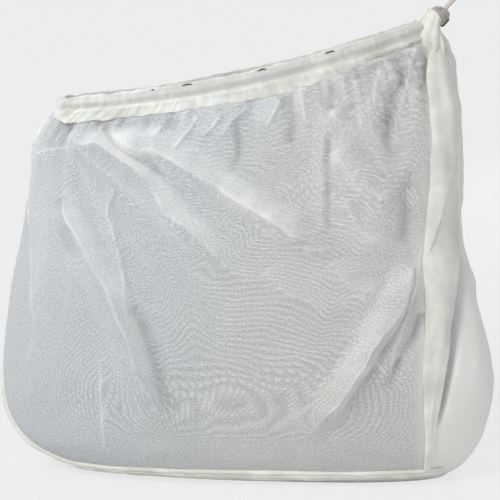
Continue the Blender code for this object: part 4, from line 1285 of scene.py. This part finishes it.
def add_floor():
    """A pale floor that shows the background's tone and still takes the bag's shadow."""
    half = FLOOR_HALF
    mesh = bpy.data.meshes.new("floor")
    corners = [(-half, -half, 0), (half, -half, 0), (half, half, 0), (-half, half, 0)]
    mesh.from_pydata(corners, [], [(0, 1, 2, 3)])
    floor = add_object("floor", mesh)
    floor.location.z = -FLOOR_DROP
    made = bpy.data.materials.new("pale_floor")
    made.use_nodes = True
    tree = made.node_tree
    plain = tree.nodes["Principled BSDF"]
    plain.inputs["Base Color"].default_value = (0.80, 0.80, 0.80, 1.0)
    plain.inputs["Roughness"].default_value = 0.9
    plain.inputs["Specular IOR Level"].default_value = 0.0
    glow = tree.nodes.new("ShaderNodeEmission")
    place = tree.nodes.new("ShaderNodeTexCoord")
    away = tree.nodes.new("ShaderNodeVectorMath")
    away.operation = "LENGTH"
    tree.links.new(place.outputs["Object"], away.inputs[0])
    tone = tree.nodes.new("ShaderNodeMapRange")
    for i, value in enumerate((*FLOOR_NEAR_TO_FAR, FLOOR_NEAR, FLOOR_FAR)):
        tone.inputs[i + 1].default_value = value
    tree.links.new(away.outputs["Value"], tone.inputs[0])
    tree.links.new(tone.outputs[0], glow.inputs[0])
    shadow = tree.nodes.new("ShaderNodeMixShader")
    shadow.inputs[0].default_value = FLOOR_OWN_LIGHT
    tree.links.new(plain.outputs[0], shadow.inputs[1])
    tree.links.new(glow.outputs[0], shadow.inputs[2])
    mixed = seen_as(tree, plain.outputs[0], shadow.outputs[0])
    tree.links.new(mixed, tree.nodes["Material Output"].inputs[0])
    mesh.materials.append(made)


WORLD_LIGHT = 0.44
LIGHTS_AIM = (0.0, 0.0, 0.25)
# Name, place, size, power and colour of each light
LIGHTS = (
    ("key", (-1.5, -1.3, 1.9), 1.0, 50.0, (1.0, 0.99, 0.97)),
    ("back", (0.9, 1.9, 1.5), 1.5, 16.0, (0.97, 0.98, 1.0)),
    ("fill", (1.6, -1.5, 0.9), 1.5, 10.0, (0.97, 0.98, 1.0)),
)


# ---- The bag ---------------------------------------------------------------------------------


def ride_as(piece, slot, *nodes):
    """A piece of the bag that stands for CAD nodes, which are hidden; the slot is not used."""
    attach(piece, "bag")
    if nodes:
        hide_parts(*nodes)


def dress_node(name, surface):
    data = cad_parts[name].data
    data.materials.clear()
    data.materials.append(surface)


# The knot is a closed loop, in this unit, with tails this far past it and this far apart
KNOT_SCALE = 0.0023
KNOT_TAIL = 0.011
TAIL_SPLAY = 0.35


def knot(surface):
    """The knot that joins the two strands: a cord tied over itself, with its two cut ends."""
    centre = LOCK_HOLE + CORD_WAY * (KNOT_DISTANCE + KNOT_LENGTH / 2)
    across = Vector((0.0, 1.0, 0.0))
    loop = []
    for turn in np.linspace(0, 2 * math.pi, 121):
        along = -math.sin(3 * turn) * 0.95
        sideways = math.sin(turn) + 2 * math.sin(2 * turn)
        outward = math.cos(turn) - 2 * math.cos(2 * turn)
        offset = across * sideways * 0.78 + LOCK_AXIS * outward * 0.78 + CORD_WAY * along * 1.15
        loop.append(centre + offset * KNOT_SCALE)
    tails = []
    for side in (-1, 1):
        beside = across * side * STRAND_PITCH / 2
        splay = (CORD_WAY + LOCK_AXIS * side * TAIL_SPLAY).normalized()
        reach = KNOT_LENGTH / 2 + KNOT_TAIL * (1.0 + 0.12 * side)
        bend = across * side * 0.0016
        tail, stub = [], []
        for t in np.linspace(0, 1, 16):
            tail.append(centre + beside + splay * reach * float(t) + bend * float(t * t))
        for t in np.linspace(0, 1, 8):
            stub.append(centre - CORD_WAY * (KNOT_LENGTH / 2 - GAP) * float(1 - t) + beside)
        tails += [tail, stub]
    return cord_curve("knot", loop, surface, *tails)


# The spring: its radius and how much that shrinks, its wire, turns and two ends along the lock's
# axis
SPRING_RADIUS = 0.0044
SPRING_TAPER = 0.0006
SPRING_WIRE = 0.0006
SPRING_TURNS = 4
SPRING_ENDS = (0.0048, 0.0092)


def lock_coil(surface):
    """The lock's spring: a slightly tapered coil, built at one fixed length."""
    steps, sides = SPRING_TURNS * 32, 12
    third = LOCK_AXIS.cross(Vector((0.0, 1.0, 0.0)))
    t = np.linspace(0, 1, steps + 1)
    turn = 2 * math.pi * SPRING_TURNS * t
    out = np.outer(np.sin(turn), third) + np.outer(np.cos(turn), (0.0, 1.0, 0.0))
    radius = (SPRING_RADIUS - SPRING_TAPER * t)[:, None]
    along = (SPRING_ENDS[0] + (SPRING_ENDS[1] - SPRING_ENDS[0]) * t)[:, None]
    middle = np.array(LOCK_HOLE) + out * radius + np.array(LOCK_AXIS) * along
    round_wire = 2 * math.pi * np.arange(sides) / sides
    across = np.cos(round_wire)[:, None] * out[:, None]
    ring = across + np.sin(round_wire)[:, None] * np.array(LOCK_AXIS)
    points = middle[:, None] + ring * SPRING_WIRE / 2
    faces = grid_faces(steps + 1, sides, closed=True)
    last = steps * sides
    faces.append(tuple(range(sides - 1, -1, -1)))
    faces.append(tuple(range(last, last + sides)))
    return mesh_object("lock_coil", points, faces, surface)


def build():
    bpy.context.scene.view_settings.view_transform = "Standard"
    add_camera()
    cord_finish = cord_material()
    tape = woven_material(
        "casing_cloth", linear(238, 240, 234), linear(206, 208, 201), 0.0009, 0.00022,
        warm=(0.90, 0.90, 0.87),
    )
    band_cloth = woven_material(
        "band_cloth", linear(230, 231, 223), linear(204, 205, 197), 0.0010, 0.0002
    )
    captive = cord_curve("casing_drawcord", bore_line(260), cord_finish)
    ride_as(captive, "drawcord", "drawcord_in_casing")
    end = knot(cord_finish)
    ride_as(end, "drawcord", "end_knot")
    for name, node, side in (
        ("strand_front", "cord_strand_front", -1), ("strand_back", "cord_strand_back", 1)
    ):
        route = strand_route(side)
        strand = cord_curve(name, route, cord_finish)
        ride_as(strand, "drawcord", node)
    net = net_bag(net_material())
    ride_as(net, "net", "net_front", "net_back", "net_base")
    thread = thread_material()
    mouth, row, outward = casing(tape)
    ride_as(mouth, "seam_tape", "mouth_casing")
    ride_as(stitches("casing_stitches", row, outward, thread), "seam_tape")
    ride_as(side_band(band_cloth), "seam_tape", "side_seam_band")
    hem, row, outward = bottom_band(band_cloth)
    ride_as(hem, "seam_tape", "bottom_seam_band")
    ride_as(stitches("hem_stitches", row, outward, thread), "seam_tape")
    ride_as(corner_gather(tape), "seam_tape")
    shell = plastic_material("lock_shell", linear(172, 166, 160), linear(128, 122, 118), 0.38)
    dress_node("lock_body", shell)
    button = plastic_material("lock_button", linear(92, 87, 84), linear(62, 58, 57), 0.42)
    dress_node("lock_button", button)
    coil = lock_coil(steel_material())
    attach(coil, "cord_lock")
    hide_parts("lock_spring")
    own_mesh(coil)
    add_world(WORLD_LIGHT)
    for light in LIGHTS:
        area_light(*light)
    add_floor()


build()
